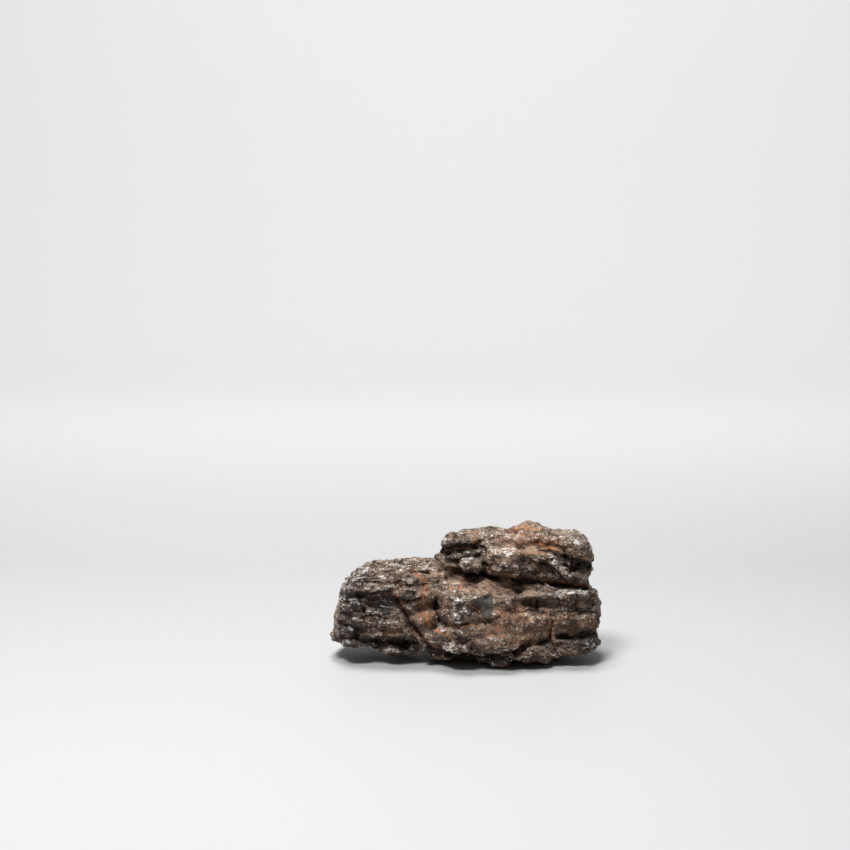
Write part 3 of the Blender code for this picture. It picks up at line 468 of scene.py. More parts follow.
# A patch is full at its middle, where this exceeds 1, and loses PATCH_FADE over a half width. It is ragged.
PATCH_FULL = 1.6
PATCH_FADE = 1.1
PATCH_RAGGED = 0.5
PATCH_WANDER_SIZE = 6

# How fast the front's markings take over from those of the sides, and from where lines show on it
FRONT_GAIN = 2.5
FRONT_EDGE = 0.3
# How far off lines are told, in their half widths, and the dark face's edge, in millimetres
FAR = 9.0
FACE_REACH = 3

# Away from the front a marking is a noise: which one, what it is times and added to, and its most.
BEHIND = {
    "dark": ("broad", 1.6, 0, 0.8),
    "brown": ("other", 1.6, 0.2, 0.9),
    "dust": ("other", 0.6, 0, 0.35),
    "bedded": ("other", -0.8, 0.6, 1),
    "sandy": ("other", -1.2, 0.5, 1),
}
PATCHES = {
    "dark": DARK_PATCHES,
    "brown": BROWN_PATCHES,
    "dust": DUST_AND_LIGHT_PATCHES,
    "bedded": BEDDED_PATCHES,
    "sandy": SANDY_PATCHES,
}
LINES = {"vein": VEINS, "crack": CRACKS, "shade": SHADE_LINES, "pale": PALE_LINES}
# How many rounds of smoothing each measure of standing out is taken against
RISES = {"fine_rise": 5, "middle_rise": 16, "wide_rise": 50}
# Noises are taken this far apart, in millimetres, so that they differ, and two of them have a size too.
WANDER_SHIFT = 40
ELSEWHERE_SHIFT = 30
CHANGE_SHIFT = 70
BEHIND_NOISES = {"broad": (20, 24), "other": (90, 20)}

# The camera: how far off it is in metres, and where the rock's middle shows in the photograph, whose frame is
# 850 pixels square
PHOTO_SIZE = 850
ROCK_PIXEL = (466, 595)
CAMERA_DISTANCE = 1.3
SENSOR = 36


def block_mesh(block, index):
    """A closed grid box in world millimetres, drawn towards a ball, with a wobbling skin."""
    made = bmesh.new()
    bmesh.ops.create_cube(made, size=2.0)
    bmesh.ops.subdivide_edges(made, edges=made.edges[:], cuts=BLOCK_CUTS, use_grid_fill=True)
    place = Matrix.LocRotScale(
        Vector(block.centre),
        Euler([math.radians(angle) for angle in block.turn]),
        Vector(block.size) / 2,
    )
    for corner in made.verts:
        ball = corner.co.normalized()
        wobble = 1 + BLOCK_WOBBLE * noise.noise(ball * WOBBLES_ACROSS + Vector((index * WOBBLE_SHIFT, 0, 0)))
        corner.co = place @ (ball.lerp(corner.co, block.square) * wobble)
    return made


def pile_of_blocks():
    """One mesh, in metres, that holds every block as its own closed shell."""
    pile = bpy.data.meshes.new("pile")
    gathered = bmesh.new()
    for index, block in enumerate(BLOCKS):
        one = block_mesh(block, index)
        one.to_mesh(pile)
        one.free()
        gathered.from_mesh(pile)
    bmesh.ops.scale(gathered, vec=(MM, MM, MM), verts=gathered.verts)
    gathered.to_mesh(pile)
    gathered.free()
    return pile


def linked(name, data):
    """A new object in the scene."""
    made = bpy.data.objects.new(name, data)
    bpy.context.scene.collection.objects.link(made)
    return made


def modified(mesh, kind, **values):
    """The mesh as one modifier with those values makes it."""
    helper = linked("helper", mesh)
    modifier = helper.modifiers.new("modifier", kind)
    for name, value in values.items():
        setattr(modifier, name, value)
    graph = bpy.context.evaluated_depsgraph_get()
    made = bpy.data.meshes.new_from_object(helper.evaluated_get(graph))
    bpy.data.objects.remove(helper)
    return made


def drawn_together(mesh):
    """One closed skin around everything in the mesh, made of squares of the fine grain."""
    return modified(mesh, "REMESH", mode="VOXEL", voxel_size=FINE_GRAIN)


def simplified(mesh, count):
    """The mesh cut down to about this count of triangles, fewest where the stone is plain."""
    mesh.calc_loop_triangles()
    ratio = count / len(mesh.loop_triangles)
    return modified(mesh, "DECIMATE", ratio=ratio, use_collapse_triangulate=True)


def points_of(mesh):
    """The mesh's points in millimetres, as rows."""
    points = np.empty(len(mesh.vertices) * 3)
    mesh.vertices.foreach_get("co", points)
    return points.reshape(-1, 3) / MM


def set_points(mesh, points):
    mesh.vertices.foreach_set("co", (points * MM).ravel())
    mesh.update()


def normals_of(mesh):
    normals = np.empty(len(mesh.vertices) * 3, np.float32)
    mesh.vertex_normals.foreach_get("vector", normals)
    return normals.reshape(-1, 3).astype(float)


def noise_at(points, size, octaves=3):
    """Smooth noise, about -1 to 1, with features of that size in millimetres."""
    return np.array([noise.fractal(Vector(p), 1.0, 2.0, octaves) for p in points / size])


def push_out(mesh, reach, outward=(1, 1, 1)):
    """Moves each point along its normal by its own reach, and by shares of it along the axes."""
    set_points(mesh, points_of(mesh) + normals_of(mesh) * outward * reach[:, None])


def split_into_beds(mesh, beds, draw, amount, strength):
    """Moves each bed of the stone in or out along the level by an amount, so that ledges stand out."""
    points = points_of(mesh)
    height, size, octaves = beds.warp
    level = points[:, 2] + beds.dip[0] * points[:, 0] + beds.dip[1] * points[:, 1]
    level = level + height * noise_at(points, size, octaves)
    reach = np.zeros(len(points))
    top = level.min()
    while top < level.max():
        bottom = top
        top = bottom + draw.uniform(*beds.thickness)
        inside = np.clip((level - bottom) / beds.edge, 0, 1) * np.clip((top - level) / beds.edge, 0, 1)
        reach += inside * amount()
    push_out(mesh, beds.reach * reach * strength, beds.outward)


def split_into_thick_beds(mesh):
    draw = random.Random(SEED)
    ragged = 1 + BED_RAGGED * noise_at(points_of(mesh), BED_RAGGED_SIZE, 2)
    split_into_beds(mesh, THICK_BEDS, draw, lambda: draw.uniform(-1, 1), ragged)


def split_into_thin_beds(mesh, strength):
    """Moves thin beds in and out, by amounts of their own that change slowly along each bed."""
    draw = random.Random(SEED + 1)
    along = noise_at(points_of(mesh) + CHANGE_SHIFT, THIN_CHANGE_SIZE, 2)

    def amount():
        return draw.uniform(-1, 1) + THIN_CHANGE * draw.choice((-1, 1)) * along

    split_into_beds(mesh, THIN_BEDS, draw, amount, strength)


def break_into_chunks(mesh, chunks, salt, strength=1.0):
    """Gives the skin over each chunk of stone a level and a tilt of its own.

    A chunk is all that is nearest its seed, and the seeds are spread at random, one to a cell of a grid.
    """
    points = points_of(mesh)
    turn = np.array(Euler([math.radians(angle) for angle in CHUNK_TURN]).to_matrix())
    scaled = (points @ turn.T) / chunks.size
    cell = np.floor(scaled).astype(int)
    table = np.random.default_rng(SEED + salt).uniform(-1, 1, (CHUNK_REPEAT, CHUNK_REPEAT, CHUNK_REPEAT, 7))
    nearest = np.full(len(points), np.inf)
    lift = np.zeros(len(points))
    for shift in itertools.product((-1, 0, 1), repeat=3):
        values = table[tuple(((cell + shift) % CHUNK_REPEAT).T)]
        gap = scaled - (cell + shift + 0.5 + CHUNK_SPREAD * values[:, :3])
        far = (gap**2).sum(1)
        here = chunks.step * values[:, 3] + chunks.tilt * (values[:, 4:] * gap).sum(1)
        lift = np.where(far < nearest, here, lift)
        nearest = np.minimum(far, nearest)
    push_out(mesh, lift * strength)


def break_facets(mesh):
    """Flattens what stands beyond each facet's plane, near its point."""
    points = points_of(mesh)
    for facet in FACETS:
        normal = np.array(facet.normal) / np.linalg.norm(facet.normal)
        away = points - np.array(facet.point)
        beyond = np.maximum(away @ normal, 0)
        near = np.clip(2 - 2 * np.linalg.norm(away, axis=1) / facet.reach, 0, 1)
        points = points - (beyond * near)[:, None] * normal
    set_points(mesh, points)


VIEW_UP = np.array([0, math.sin(VIEW_DIP), math.cos(VIEW_DIP)])
VIEW_AWAY = np.array([0, math.cos(VIEW_DIP), -math.sin(VIEW_DIP)])


def seen_from_front(points):
    """Where each point is in the front view, and how much smaller it looks than one at the rock's middle."""
    shrink = VIEW_DISTANCE / (VIEW_DISTANCE + (points - (0, 0, VIEW_LEVEL)) @ VIEW_AWAY)
    middle = VIEW_LEVEL * math.cos(VIEW_DIP)
    return np.column_stack([points[:, 0] * shrink, (points @ VIEW_UP - middle) * shrink + middle]), shrink


def facing_front(mesh):
    """How much each point is part of the front, from 0 for what faces away or lies far back to 1."""
    points, normals = points_of(mesh), normals_of(mesh)
    turned = np.clip(FRONT_TURN - FRONT_SLOPE * normals @ VIEW_AWAY, 0, 1)
    return turned * np.clip((FRONT_REACH + FRONT_FADE - points[:, 1]) / FRONT_FADE, 0, 1)


def nearest_on_route(places, route):
    """The nearest place to each one on a route of straight stretches, and how far away it is."""
    nearest, least = np.zeros_like(places), np.full(len(places), np.inf)
    for start, end in zip(route, route[1:]):
        start, way = np.array(start, float), np.subtract(end, start).astype(float)
        share = np.clip(((places - start) @ way) / (way @ way), 0, 1)
        found = start + share[:, None] * way
        off = np.linalg.norm(places - found, axis=1)
        nearest = np.where((off < least)[:, None], found, nearest)
        least = np.minimum(off, least)
    return nearest, least


def inside_of(places, corners):
    """Whether each place lies inside the closed run of corners."""
    inside = np.zeros(len(places), bool)
    x, y = places.T
    for (x0, y0), (x1, y1) in zip(corners, corners[1:] + corners[:1]):
        if y0 != y1:
            crosses = (y0 > y) != (y1 > y)
            inside ^= crosses & (x < x0 + (y - y0) * (x1 - x0) / (y1 - y0))
    return inside


def trim_to_outline(mesh):
    """Moves what shows outside the outline, in the front view, onto it."""
    points = points_of(mesh)
    places, shrink = seen_from_front(points)
    nearest, _ = nearest_on_route(places, OUTLINE + OUTLINE[:1])
    move = np.where(inside_of(places, OUTLINE)[:, None], 0, (nearest - places) / shrink[:, None])
    set_points(mesh, points + move[:, :1] * (1, 0, 0) + move[:, 1:] * VIEW_UP)


def trim_to_plan(mesh, plan, level, rise):
    """Moves what lies above the level and outside the plan, seen from above, onto the plan."""
    points = points_of(mesh)
    nearest, _ = nearest_on_route(points[:, :2], plan + plan[:1])
    outside = ~inside_of(points[:, :2], plan) & (points[:, 2] > level + rise * points[:, 0])
    points[outside, :2] = nearest[outside]
    set_points(mesh, points)


def cut_groove(mesh, groove, front=None):
    """Sinks the skin along one groove, which wanders a little off its route."""
    points = points_of(mesh)
    places = points if front is None else seen_from_front(points)[0]
    _, off = nearest_on_route(places, groove.route)
    off = off + EDGE_WANDER * np.abs(noise_at(points, EDGE_WANDER_SIZE, 2))
    sink = groove.depth * np.exp(-((off / groove.half_width) ** 2) / 2) * (1 if front is None else front)
    push_out(mesh, -sink)


def cut_flat_spot(mesh, level):
    """Cuts the underside off level at that height, as the flat spot that the rock stands on."""
    cut = bmesh.new()
    cut.from_mesh(mesh)
    everything = cut.verts[:] + cut.edges[:] + cut.faces[:]
    made = bmesh.ops.bisect_plane(
        cut, geom=everything, plane_co=(0, 0, level), plane_no=(0, 0, 1), clear_inner=True
    )
    rim = [item for item in made["geom_cut"] if isinstance(item, bmesh.types.BMEdge)]
    bmesh.ops.holes_fill(cut, edges=rim, sides=0)
    bmesh.ops.triangulate(cut, faces=cut.faces[:])
    bmesh.ops.recalc_face_normals(cut, faces=cut.faces[:])
    cut.to_mesh(mesh)
    cut.free()


def keep_largest_shell(mesh):
    """Removes hollows closed off inside the stone and crumbs that hang free of it."""
    shells = bmesh.new()
    shells.from_mesh(mesh)
    left, largest = set(shells.verts), set()
    while left:
        found, edge = set(), {left.pop()}
        while edge:
            found |= edge
            edge = {link.other_vert(corner) for corner in edge for link in corner.link_edges} - found
        left -= found
        largest = max(largest, found, key=len)
    loose = [corner for corner in shells.verts if corner not in largest]
    bmesh.ops.delete(shells, geom=loose, context="VERTS")
    shells.to_mesh(mesh)
    shells.free()


def from_pixel(pixel):
    """The place in the front view, in millimetres, that a pixel of the photograph shows."""
    return (pixel[0] - MIDDLE_PIXEL[0]) * PIXEL_SIZE, (MIDDLE_PIXEL[1] - pixel[1]) * PIXEL_SIZE


def from_pixels(pixels):
    return [from_pixel(pixel) for pixel in pixels]


def wandering(places, points):
    """The places moved a little, so that what is drawn by them isn't straight."""
    for salt, (size, reach) in enumerate(LEDGE_WANDERS):
        places = places + reach * noise_at(points + WANDER_SHIFT * salt, size, 2)[:, None]
    return places


def along_and_across(places, middle, half_widths, turn):
    """Each place from an ellipse's middle along it and across it, as shares of its half widths."""
    away = places - middle
    turn = math.radians(turn)
    along = (away @ (math.cos(turn), math.sin(turn))) / half_widths[0]
    across = (away @ (-math.sin(turn), math.cos(turn))) / half_widths[1]
    return along, across


def shape_front(mesh, lumps, recesses, ledges=()):
    """Raises the lumps, sinks the recesses and makes the ledges, all with edges that wander a little."""
    front = facing_front(mesh)
    points = points_of(mesh)
    places, _ = seen_from_front(points)
    places = places + EDGE_WANDER * noise_at(points, EDGE_WANDER_SIZE, 3)[:, None]
    out = np.zeros(len(points))
    for lump in lumps:
        along, across = along_and_across(places, lump.place, lump.half_widths, lump.turn)
        out += lump.height * np.sqrt(np.clip(1 - along**2 - across**2, 0, 1))
    for recess in recesses:
        _, off = nearest_on_route(places, recess.corners + recess.corners[:1])
        out -= recess.depth * np.clip(off / RECESS_EDGE, 0, 1) * inside_of(places, recess.corners)
    places = wandering(places, points) if ledges else places
    for ledge in ledges:
        across, up = np.array(from_pixels(ledge.pixels)).T
        above = places[:, 1] - np.interp(places[:, 0], across, up)
        inward = np.minimum(places[:, 0] - across[0], across[-1] - places[:, 0])
        ends = np.clip(inward / LEDGE_ENDS + 0.5, 0, 1)
        out += np.where(above > 0, ledge.rise, -ledge.fall) * np.exp(-np.abs(above) / ledge.width) * ends
    set_points(mesh, points - (out * front)[:, None] * VIEW_AWAY)


def fine_front_forms():
    """The fine lumps and recesses, from pixels to millimetres in the front view."""
    lumps = []
    for lump in FINE_LUMPS:
        half_widths = [half * PIXEL_SIZE for half in lump.half_widths]
        lumps.append(lump._replace(place=from_pixel(lump.place), half_widths=half_widths))
    return lumps, [recess._replace(corners=from_pixels(recess.corners)) for recess in FINE_RECESSES]


def cut_cracks(mesh):
    """Sinks the cracks, each to a depth that goes with its width."""
    points = points_of(mesh)
    places = wandering(seen_from_front(points)[0], points)
    sink = np.zeros(len(points))
    for crack in CRACKS:
        _, off = nearest_on_route(places, from_pixels(crack.pixels))
        half_width = CRACK_SPREAD * crack.half_width
        sink = np.maximum(sink, CRACK_DEPTH * crack.half_width * np.exp(-((off / half_width) ** 2) / 2))
    push_out(mesh, -sink * facing_front(mesh))


def ends_of_edges(mesh):
    ends = np.empty(len(mesh.edges) * 2, np.int32)
    mesh.edges.foreach_get("vertices", ends)
    return ends.reshape(-1, 2)


def spread(values, ends, rounds):
    """The values, each averaged with those of its neighbours, that many times over."""
    count = len(values)
    links = np.bincount(ends.ravel(), minlength=count)
    one, other = ends.T
    for _ in range(rounds):
        total = np.bincount(one, values[other], count) + np.bincount(other, values[one], count)
        values = (values + total / links) / 2
    return values


def standing_out(mesh, rounds):
    """How far each point stands out of its surroundings, in millimetres."""
    points, ends = points_of(mesh), ends_of_edges(mesh)
    smooth = np.column_stack([spread(points[:, axis].copy(), ends, rounds) for axis in range(3)])
    return ((points - smooth) * normals_of(mesh)).sum(1)


def wear_down(mesh, rounds):
    """Draws in the points that stand out too far to last, and fills the pits that are too deep."""
    rise = standing_out(mesh, rounds)
    push_out(mesh, -(np.maximum(rise - MOST_OUT, 0) + np.minimum(rise + MOST_IN, 0)))


def patch_strength(places, patches, ragged):
    """The strongest patch at each place, fading towards its edge."""
    strongest = np.zeros(len(places))
    for patch in patches:
        half_widths = [half * PIXEL_SIZE for half in patch.half_widths]
        along, across = along_and_across(places, from_pixel(patch.pixel), half_widths, patch.turn)
        inside = PATCH_FULL - PATCH_FADE * np.sqrt(along**2 + across**2) + PATCH_RAGGED * ragged
        inside = np.clip(inside, 0, 1)
        strongest = np.maximum(strongest, patch.strength * inside)
    return strongest


def line_distance(places, lines):
    """How far each place is from the nearest line, as a share of that line's half width."""
    nearest = np.full(len(places), FAR)
    for line in lines:
        _, off = nearest_on_route(places, from_pixels(line.pixels))
        nearest = np.minimum(nearest, off / line.half_width)
    return nearest


def store(mesh, name, values):
    kept = mesh.attributes.new(name, "FLOAT", "POINT")
    kept.data.foreach_set("value", values.astype(np.float32))


def fit_to_box(mesh, low, high):
    points = points_of(mesh) * MM
    least, most = points.min(0), points.max(0)
    set_points(mesh, ((points - least) * ((high - low) / (most - least)) + low) / MM)


def front_part(mesh):
    return np.clip(FRONT_GAIN * facing_front(mesh), 0, 1)


def fine_rock_mesh():
    """The rock as the solid is made, with its finer forms, fitted to the solid's box."""
    BLOCKS.extend(FILLING)
    mesh = drawn_together(pile_of_blocks())
    split_into_thick_beds(mesh)
    trim_to_outline(mesh)
    trim_to_plan(mesh, PLAN, 0, 0)
    trim_to_plan(mesh, UPPER_PLAN, TIER_LEVEL, TIER_RISE)
    mesh = drawn_together(mesh)
    for salt, chunks in enumerate(CHUNKS):
        break_into_chunks(mesh, chunks, salt)
    break_facets(mesh)
    trim_to_outline(mesh)
    mesh = drawn_together(mesh)
    shape_front(mesh, LUMPS, RECESSES)
    front = facing_front(mesh)
    for groove in FRONT_GROOVES:
        cut_groove(mesh, groove, front)
    for groove in SIDE_GROOVES:
        cut_groove(mesh, groove)
    push_out(mesh, ROUGHNESS * noise_at(points_of(mesh), ROUGH_SIZE, 4))
    mesh = drawn_together(mesh)
    points = points_of(mesh)
    places, _ = seen_from_front(points)
    front = front_part(mesh)
    ragged = noise_at(points, PATCH_WANDER_SIZE, 3)
    sandy = patch_strength(places, SANDY_PATCHES, ragged)
    rough = (1 - SMOOTHER * sandy) * front + SIDE_ROUGHNESS * (1 - front)
    for salt, chunks in enumerate(FINE_CHUNKS):
        break_into_chunks(mesh, chunks, salt + len(CHUNKS), rough)
    bedded = patch_strength(places, BEDDED_PATCHES, ragged)
    middle, change, most = THIN_ELSEWHERE
    elsewhere = np.clip(middle + change * noise_at(points + ELSEWHERE_SHIFT, THIN_ELSEWHERE_SIZE, 2), 0, most)
    split_into_thin_beds(mesh, bedded * front + elsewhere * (1 - front))
    shape_front(mesh, *fine_front_forms(), LEDGES)
    cut_cracks(mesh)
    mesh = drawn_together(mesh)
    keep_largest_shell(mesh)
    mesh = simplified(mesh, FINE_TRIANGLES)
    for rounds in WEAR_ROUNDS:
        wear_down(mesh, rounds)
    for size, height in FINE_NOISES:
        push_out(mesh, height * (FINE_NOISE_LEVEL - np.abs(noise_at(points_of(mesh), size, 3))))
    cut_flat_spot(mesh, FOOT_LEVEL * MM)
    low, high = (np.array(corner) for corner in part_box("pagoda_rock"))
    fit_to_box(mesh, low, high)
    return mesh


def mark(mesh):
    """Stores what the stone material mixes its colours from."""
    points = points_of(mesh)
    ragged = noise_at(points, PATCH_WANDER_SIZE, 3)
    places = wandering(seen_from_front(points)[0], points)
    front = front_part(mesh)
    noises = {}
    for name, (shift, size) in BEHIND_NOISES.items():
        noises[name] = noise_at(points + shift, size, 3)
    for name, patches in PATCHES.items():
        kind, gain, start, most = BEHIND[name]
        behind = np.clip(gain * noises[kind] + start, 0, most)
        store(mesh, name, patch_strength(places, patches, ragged) * front + behind * (1 - front))
    store(mesh, "upward", normals_of(mesh)[:, 2])
    for name, rounds in RISES.items():
        store(mesh, name, standing_out(mesh, rounds))
    for name, lines in LINES.items():
        store(mesh, name, np.where(front > FRONT_EDGE, line_distance(places, lines), FAR))
    face = from_pixels(DARK_FACE)
    _, off = nearest_on_route(places, face + face[:1])
    off = np.clip(np.where(inside_of(places, face), off, -off), -FACE_REACH, FACE_REACH)
    store(mesh, "dark_face", np.where(front > FRONT_EDGE, off, -FACE_REACH))


# A pattern's shift along X, Y and Z, as shares of it
SHIFT_SHARES = (1, 0.7, 1.3)


class Nodes:
    """Short ways to add nodes to one material."""

    def __init__(self, name):
        self.material = bpy.data.materials.new(name)
        self.material.use_nodes = True
        self.tree = self.material.node_tree
        self.surface = self.tree.nodes["Principled BSDF"]

    def add(self, kind, **values):
        node = self.tree.nodes.new(kind)
        for name, value in values.items():
            setattr(node, name, value)
        return node

    def put(self, value, socket):
        if isinstance(value, bpy.types.NodeSocket):
            self.tree.links.new(value, socket)
        else:
            socket.default_value = value

    def number(self, operation, first, second):
        node = self.add("ShaderNodeMath", operation=operation)
        self.put(first, node.inputs[0])
        self.put(second, node.inputs[1])
        return node.outputs[0]

    def times(self, first, second):
        return self.number("MULTIPLY", first, second)

    def plus(self, first, second):
        return self.number("ADD", first, second)

    def rest(self, value):
        return self.number("SUBTRACT", 1.0, value)

    def sum(self, *terms):
        """The sum of values, each with a weight."""
        total = None
        for value, weight in terms:
            part = value if weight == 1 else self.times(value, weight)
            total = part if total is None else self.plus(total, part)
        return total

    def ramp(self, value, low, high):
        """0 where the value is at low or before it, 1 at high or past it, and smooth between."""
        node = self.add("ShaderNodeMapRange", interpolation_type="SMOOTHSTEP")
        self.put(value, node.inputs["Value"])
        node.inputs["From Min"].default_value = low
        node.inputs["From Max"].default_value = high
        return node.outputs["Result"]

    def place(self, size, stretch=(1, 1, 1), shift=0.0, warp=None):
        """Places on the stone in units of that size in metres, stretched, shifted and warped by a noise."""
        mapping = self.add("ShaderNodeMapping")
        self.put(self.add("ShaderNodeTexCoord").outputs["Object"], mapping.inputs["Vector"])
        mapping.inputs["Location"].default_value = [shift * share for share in SHIFT_SHARES]
        mapping.inputs["Scale"].default_value = [axis / size for axis in stretch]
        if warp is None:
            return mapping.outputs[0]
        moved = self.add("ShaderNodeVectorMath", operation="ADD")
        self.put(mapping.outputs[0], moved.inputs[0])
        self.put(warp, moved.inputs[1])
        return moved.outputs[0]

    def noise(self, size, detail, roughness, shift, stretch=(1, 1, 1), output="Fac"):
        """Noise with features of that size in metres, about 0 to 1."""
        node = self.add("ShaderNodeTexNoise")
        self.put(self.place(size, stretch, shift), node.inputs["Vector"])
        node.inputs["Scale"].default_value = 1.0
        node.inputs["Detail"].default_value = detail
        node.inputs["Roughness"].default_value = roughness
        return node.outputs[output]

    def warp(self, size, shift):
        return self.noise(size, 3, 0.6, shift, output="Color")

    def voronoi(self, size, shift=0, feature="F1", stretch=(1, 1, 1), warp=None):
        node = self.add("ShaderNodeTexVoronoi", feature=feature)
        self.put(self.place(size, stretch, shift, warp), node.inputs["Vector"])
        node.inputs["Scale"].default_value = 1.0
        return node

    def level_of(self, cells):
        """A random level for each cell of a voronoi node, from 0 to 1."""
        parts = self.add("ShaderNodeSeparateColor")
        self.put(cells.outputs["Color"], parts.inputs[0])
        return parts.outputs[0]

    def chips(self, size, shift, stretch):
        """A random level for each chip of that size, with ragged edges."""
        return self.level_of(self.voronoi(size, shift, "F1", stretch, self.warp(size * 0.6, shift)))

    def grains(self, size, share, shift):
        """Small round grains, one to a cell of that size, in that share of the cells."""
        cells = self.voronoi(size, shift)
        picked = self.number("LESS_THAN", self.level_of(cells), share)
        return self.times(picked, self.ramp(cells.outputs["Distance"], 0.5, 0.2))

    def crevices(self, size, width, shift, stretch):
        """Gaps between chunks of that size: 1 in a gap and 0 outside it."""
        cells = self.voronoi(size, shift, "DISTANCE_TO_EDGE", stretch, self.warp(size * 0.7, shift))
        return self.ramp(cells.outputs["Distance"], width, width * 0.2)

    def mix(self, factor, first, second, blend="MIX"):
        node = self.add("ShaderNodeMix", data_type="RGBA", blend_type=blend)
        self.put(factor, node.inputs[0])
        self.put(first, node.inputs[6])
        self.put(second, node.inputs[7])
        return node.outputs[2]

    def laid(self, colour, over, share, most):
        """The colour with another laid over it, by that share of the most."""
        return self.mix(self.times(share, most), colour, over)


GREY_BROWN = (0.385, 0.278, 0.205, 1)
WARM_BROWN = (0.475, 0.282, 0.172, 1)
RUST = (0.62, 0.190, 0.055, 1)
DARK_STONE = (0.085, 0.079, 0.074, 1)
# Painted shade, laid into hollows, pits, what faces down and the lines of deep shade
SHADE = (0.078, 0.049, 0.034, 1)
CRACK = (0.012, 0.007, 0.005, 1)
# Pale dust, and the painted highlights on edges
DUST_AND_HIGHLIGHT = (0.95, 0.92, 0.87, 1)
# Tan dust, and painted top light, on what faces up
TAN = (0.45, 0.37, 0.30, 1)
GREY_DUST_AND_HIGHLIGHT = (0.34, 0.31, 0.28, 1)
VEIN = (0.82, 0.37, 0.16, 1)
FACE_STONES = (0.034, 0.029, 0.025, 1), (0.058, 0.050, 0.043, 1)

# Noises in the stone: size in metres, detail, roughness, shift, and stretch where there is one
STONE_NOISES = {
    "coarse": (0.011, 5, 0.65, 0),
    "middle": (0.0030, 5, 0.7, 3),
    "fine": (0.0014, 5, 0.8, 7),
    "grit": (0.0008, 3, 0.9, 11),
    "beds": (0.0060, 5, 0.7, 5, (0.55, 0.55, 4.2)),
    "spots": (0.0022, 4, 0.8, 17),
}
# Painted shade: what lies low, and what faces down, is darkened towards SHADE. For each stored measure:
# where it starts to darken the stone, where it is full, and its most.
PAINTED_SHADE_IN_HOLLOWS = {
    "wide_rise": (-0.5, -2.2, 0.75),
    "middle_rise": (-0.2, -1.1, 0.65),
    "fine_rise": (-0.12, -0.5, 0.7),
    "upward": (-0.15, -0.75, 0.65),
}
GRAIN_SIZE = 0.0012
DULLNESS = 0.86
SHEEN = 0.35
BUMP_HEIGHT = 0.0022


class Stone(Nodes):
    """The limestone's nodes, with the measures on its mesh and the patterns that colour it."""

    def __init__(self, name):
        super().__init__(name)
        for kept in (*PATCHES, *LINES, *RISES, "upward", "dark_face"):
            setattr(self, kept, self.add("ShaderNodeAttribute", attribute_name=kept).outputs["Fac"])
        for kind, values in STONE_NOISES.items():
            setattr(self, kind, self.noise(*values))
        self.grain = self.number("POWER", self.level_of(self.voronoi(GRAIN_SIZE)), 2.5)
        self.large_chips = self.chips(0.0042, 41, (1, 1, 2.2))
        self.small_chips = self.chips(0.0021, 43, (1, 1, 1.7))
        large, small = self.ramp(self.coarse, 0.44, 0.56), self.ramp(self.middle, 0.42, 0.58)
        large = self.times(self.crevices(0.0052, 0.10, 21, (1, 1, 2.0)), large)
        small = self.times(self.crevices(0.0023, 0.14, 31, (1, 1, 1.6)), small)
        gaps = self.number("MAXIMUM", large, self.times(small, 0.8))
        self.gaps = self.times(gaps, self.rest(self.times(self.sandy, 0.7)))
        self.ragged = self.sum((self.fine, 2.4), (self.grit, 2.4), (-2.4, 1))
        self.face = self.ramp(self.plus(self.dark_face, self.times(self.ragged, -0.35)), -0.1, 0.2)
        self.rough_stone = self.rest(self.face)
        # Tan dust on what faces up, which also paints the tops lighter, as light from above does
        self.dust_film_and_top_light = self.ramp(self.upward, 0.1, 0.9)
        dark = self.sum((self.dark, 0.7), (self.coarse, 0.4), (self.middle, 0.3))
        self.dark_stone = self.ramp(dark, 0.5, 0.85)


def surface_texture(stone):
    """Pits and gaps between thin beds are low, grains and the edges of beds are high."""
    layers = stone.times(stone.number("SUBTRACT", stone.beds, 0.5), stone.sum((stone.bedded, 2.3), (0.2, 1)))
    grains = (stone.fine, 0.5), (stone.grit, 0.4), (stone.middle, 0.3)
    relief = stone.sum(*grains, (layers, 1), (stone.gaps, -0.3))
    return stone.sum((relief, 1), (stone.large_chips, 0.28), (stone.small_chips, 0.2))


def body_colour(stone):
    """Grey-brown, warmer in the brown patches and dark in the dark ones, with brighter and darker grains."""
    brown = stone.ramp(stone.sum((stone.brown, 0.55), (stone.middle, 0.7)), 0.35, 0.8)
    colour = stone.mix(stone.dark_stone, stone.mix(brown, GREY_BROWN, WARM_BROWN), DARK_STONE)
    grains = stone.times(stone.number("SUBTRACT", stone.grain, 0.28), stone.sum((stone.sandy, 0.7), (0.3, 1)))
    chips = (stone.large_chips, 0.45), (stone.small_chips, 0.32)
    noises = (stone.grit, 2.4), (stone.middle, 1.5)
    bright = stone.sum((grains, 1), *chips, *noises, (stone.sandy, -0.15), (-1.38, 1))
    return stone.mix(1.0, colour, stone.number("MAXIMUM", bright, 0.15), "MULTIPLY")


def with_rust_and_top_light(stone, colour):
    """A film of tan dust on what faces up, which also paints top light there, spots of rust in brown patches
    and stains beside cracks.
    """
    colour = stone.laid(colour, TAN, stone.dust_film_and_top_light, stone.ramp(stone.fine, 0.35, 0.7))
    stain = stone.ramp(stone.plus(stone.crack, stone.ragged), 4.5, 1.5)
    share = stone.sum((stone.brown, 0.5), (stain, 0.45), (0.15, 1))
    share = stone.times(share, stone.sum((stone.grain, 0.5), (0.7, 1)))
    return stone.laid(colour, RUST, stone.ramp(stone.spots, 0.50, 0.60), share)


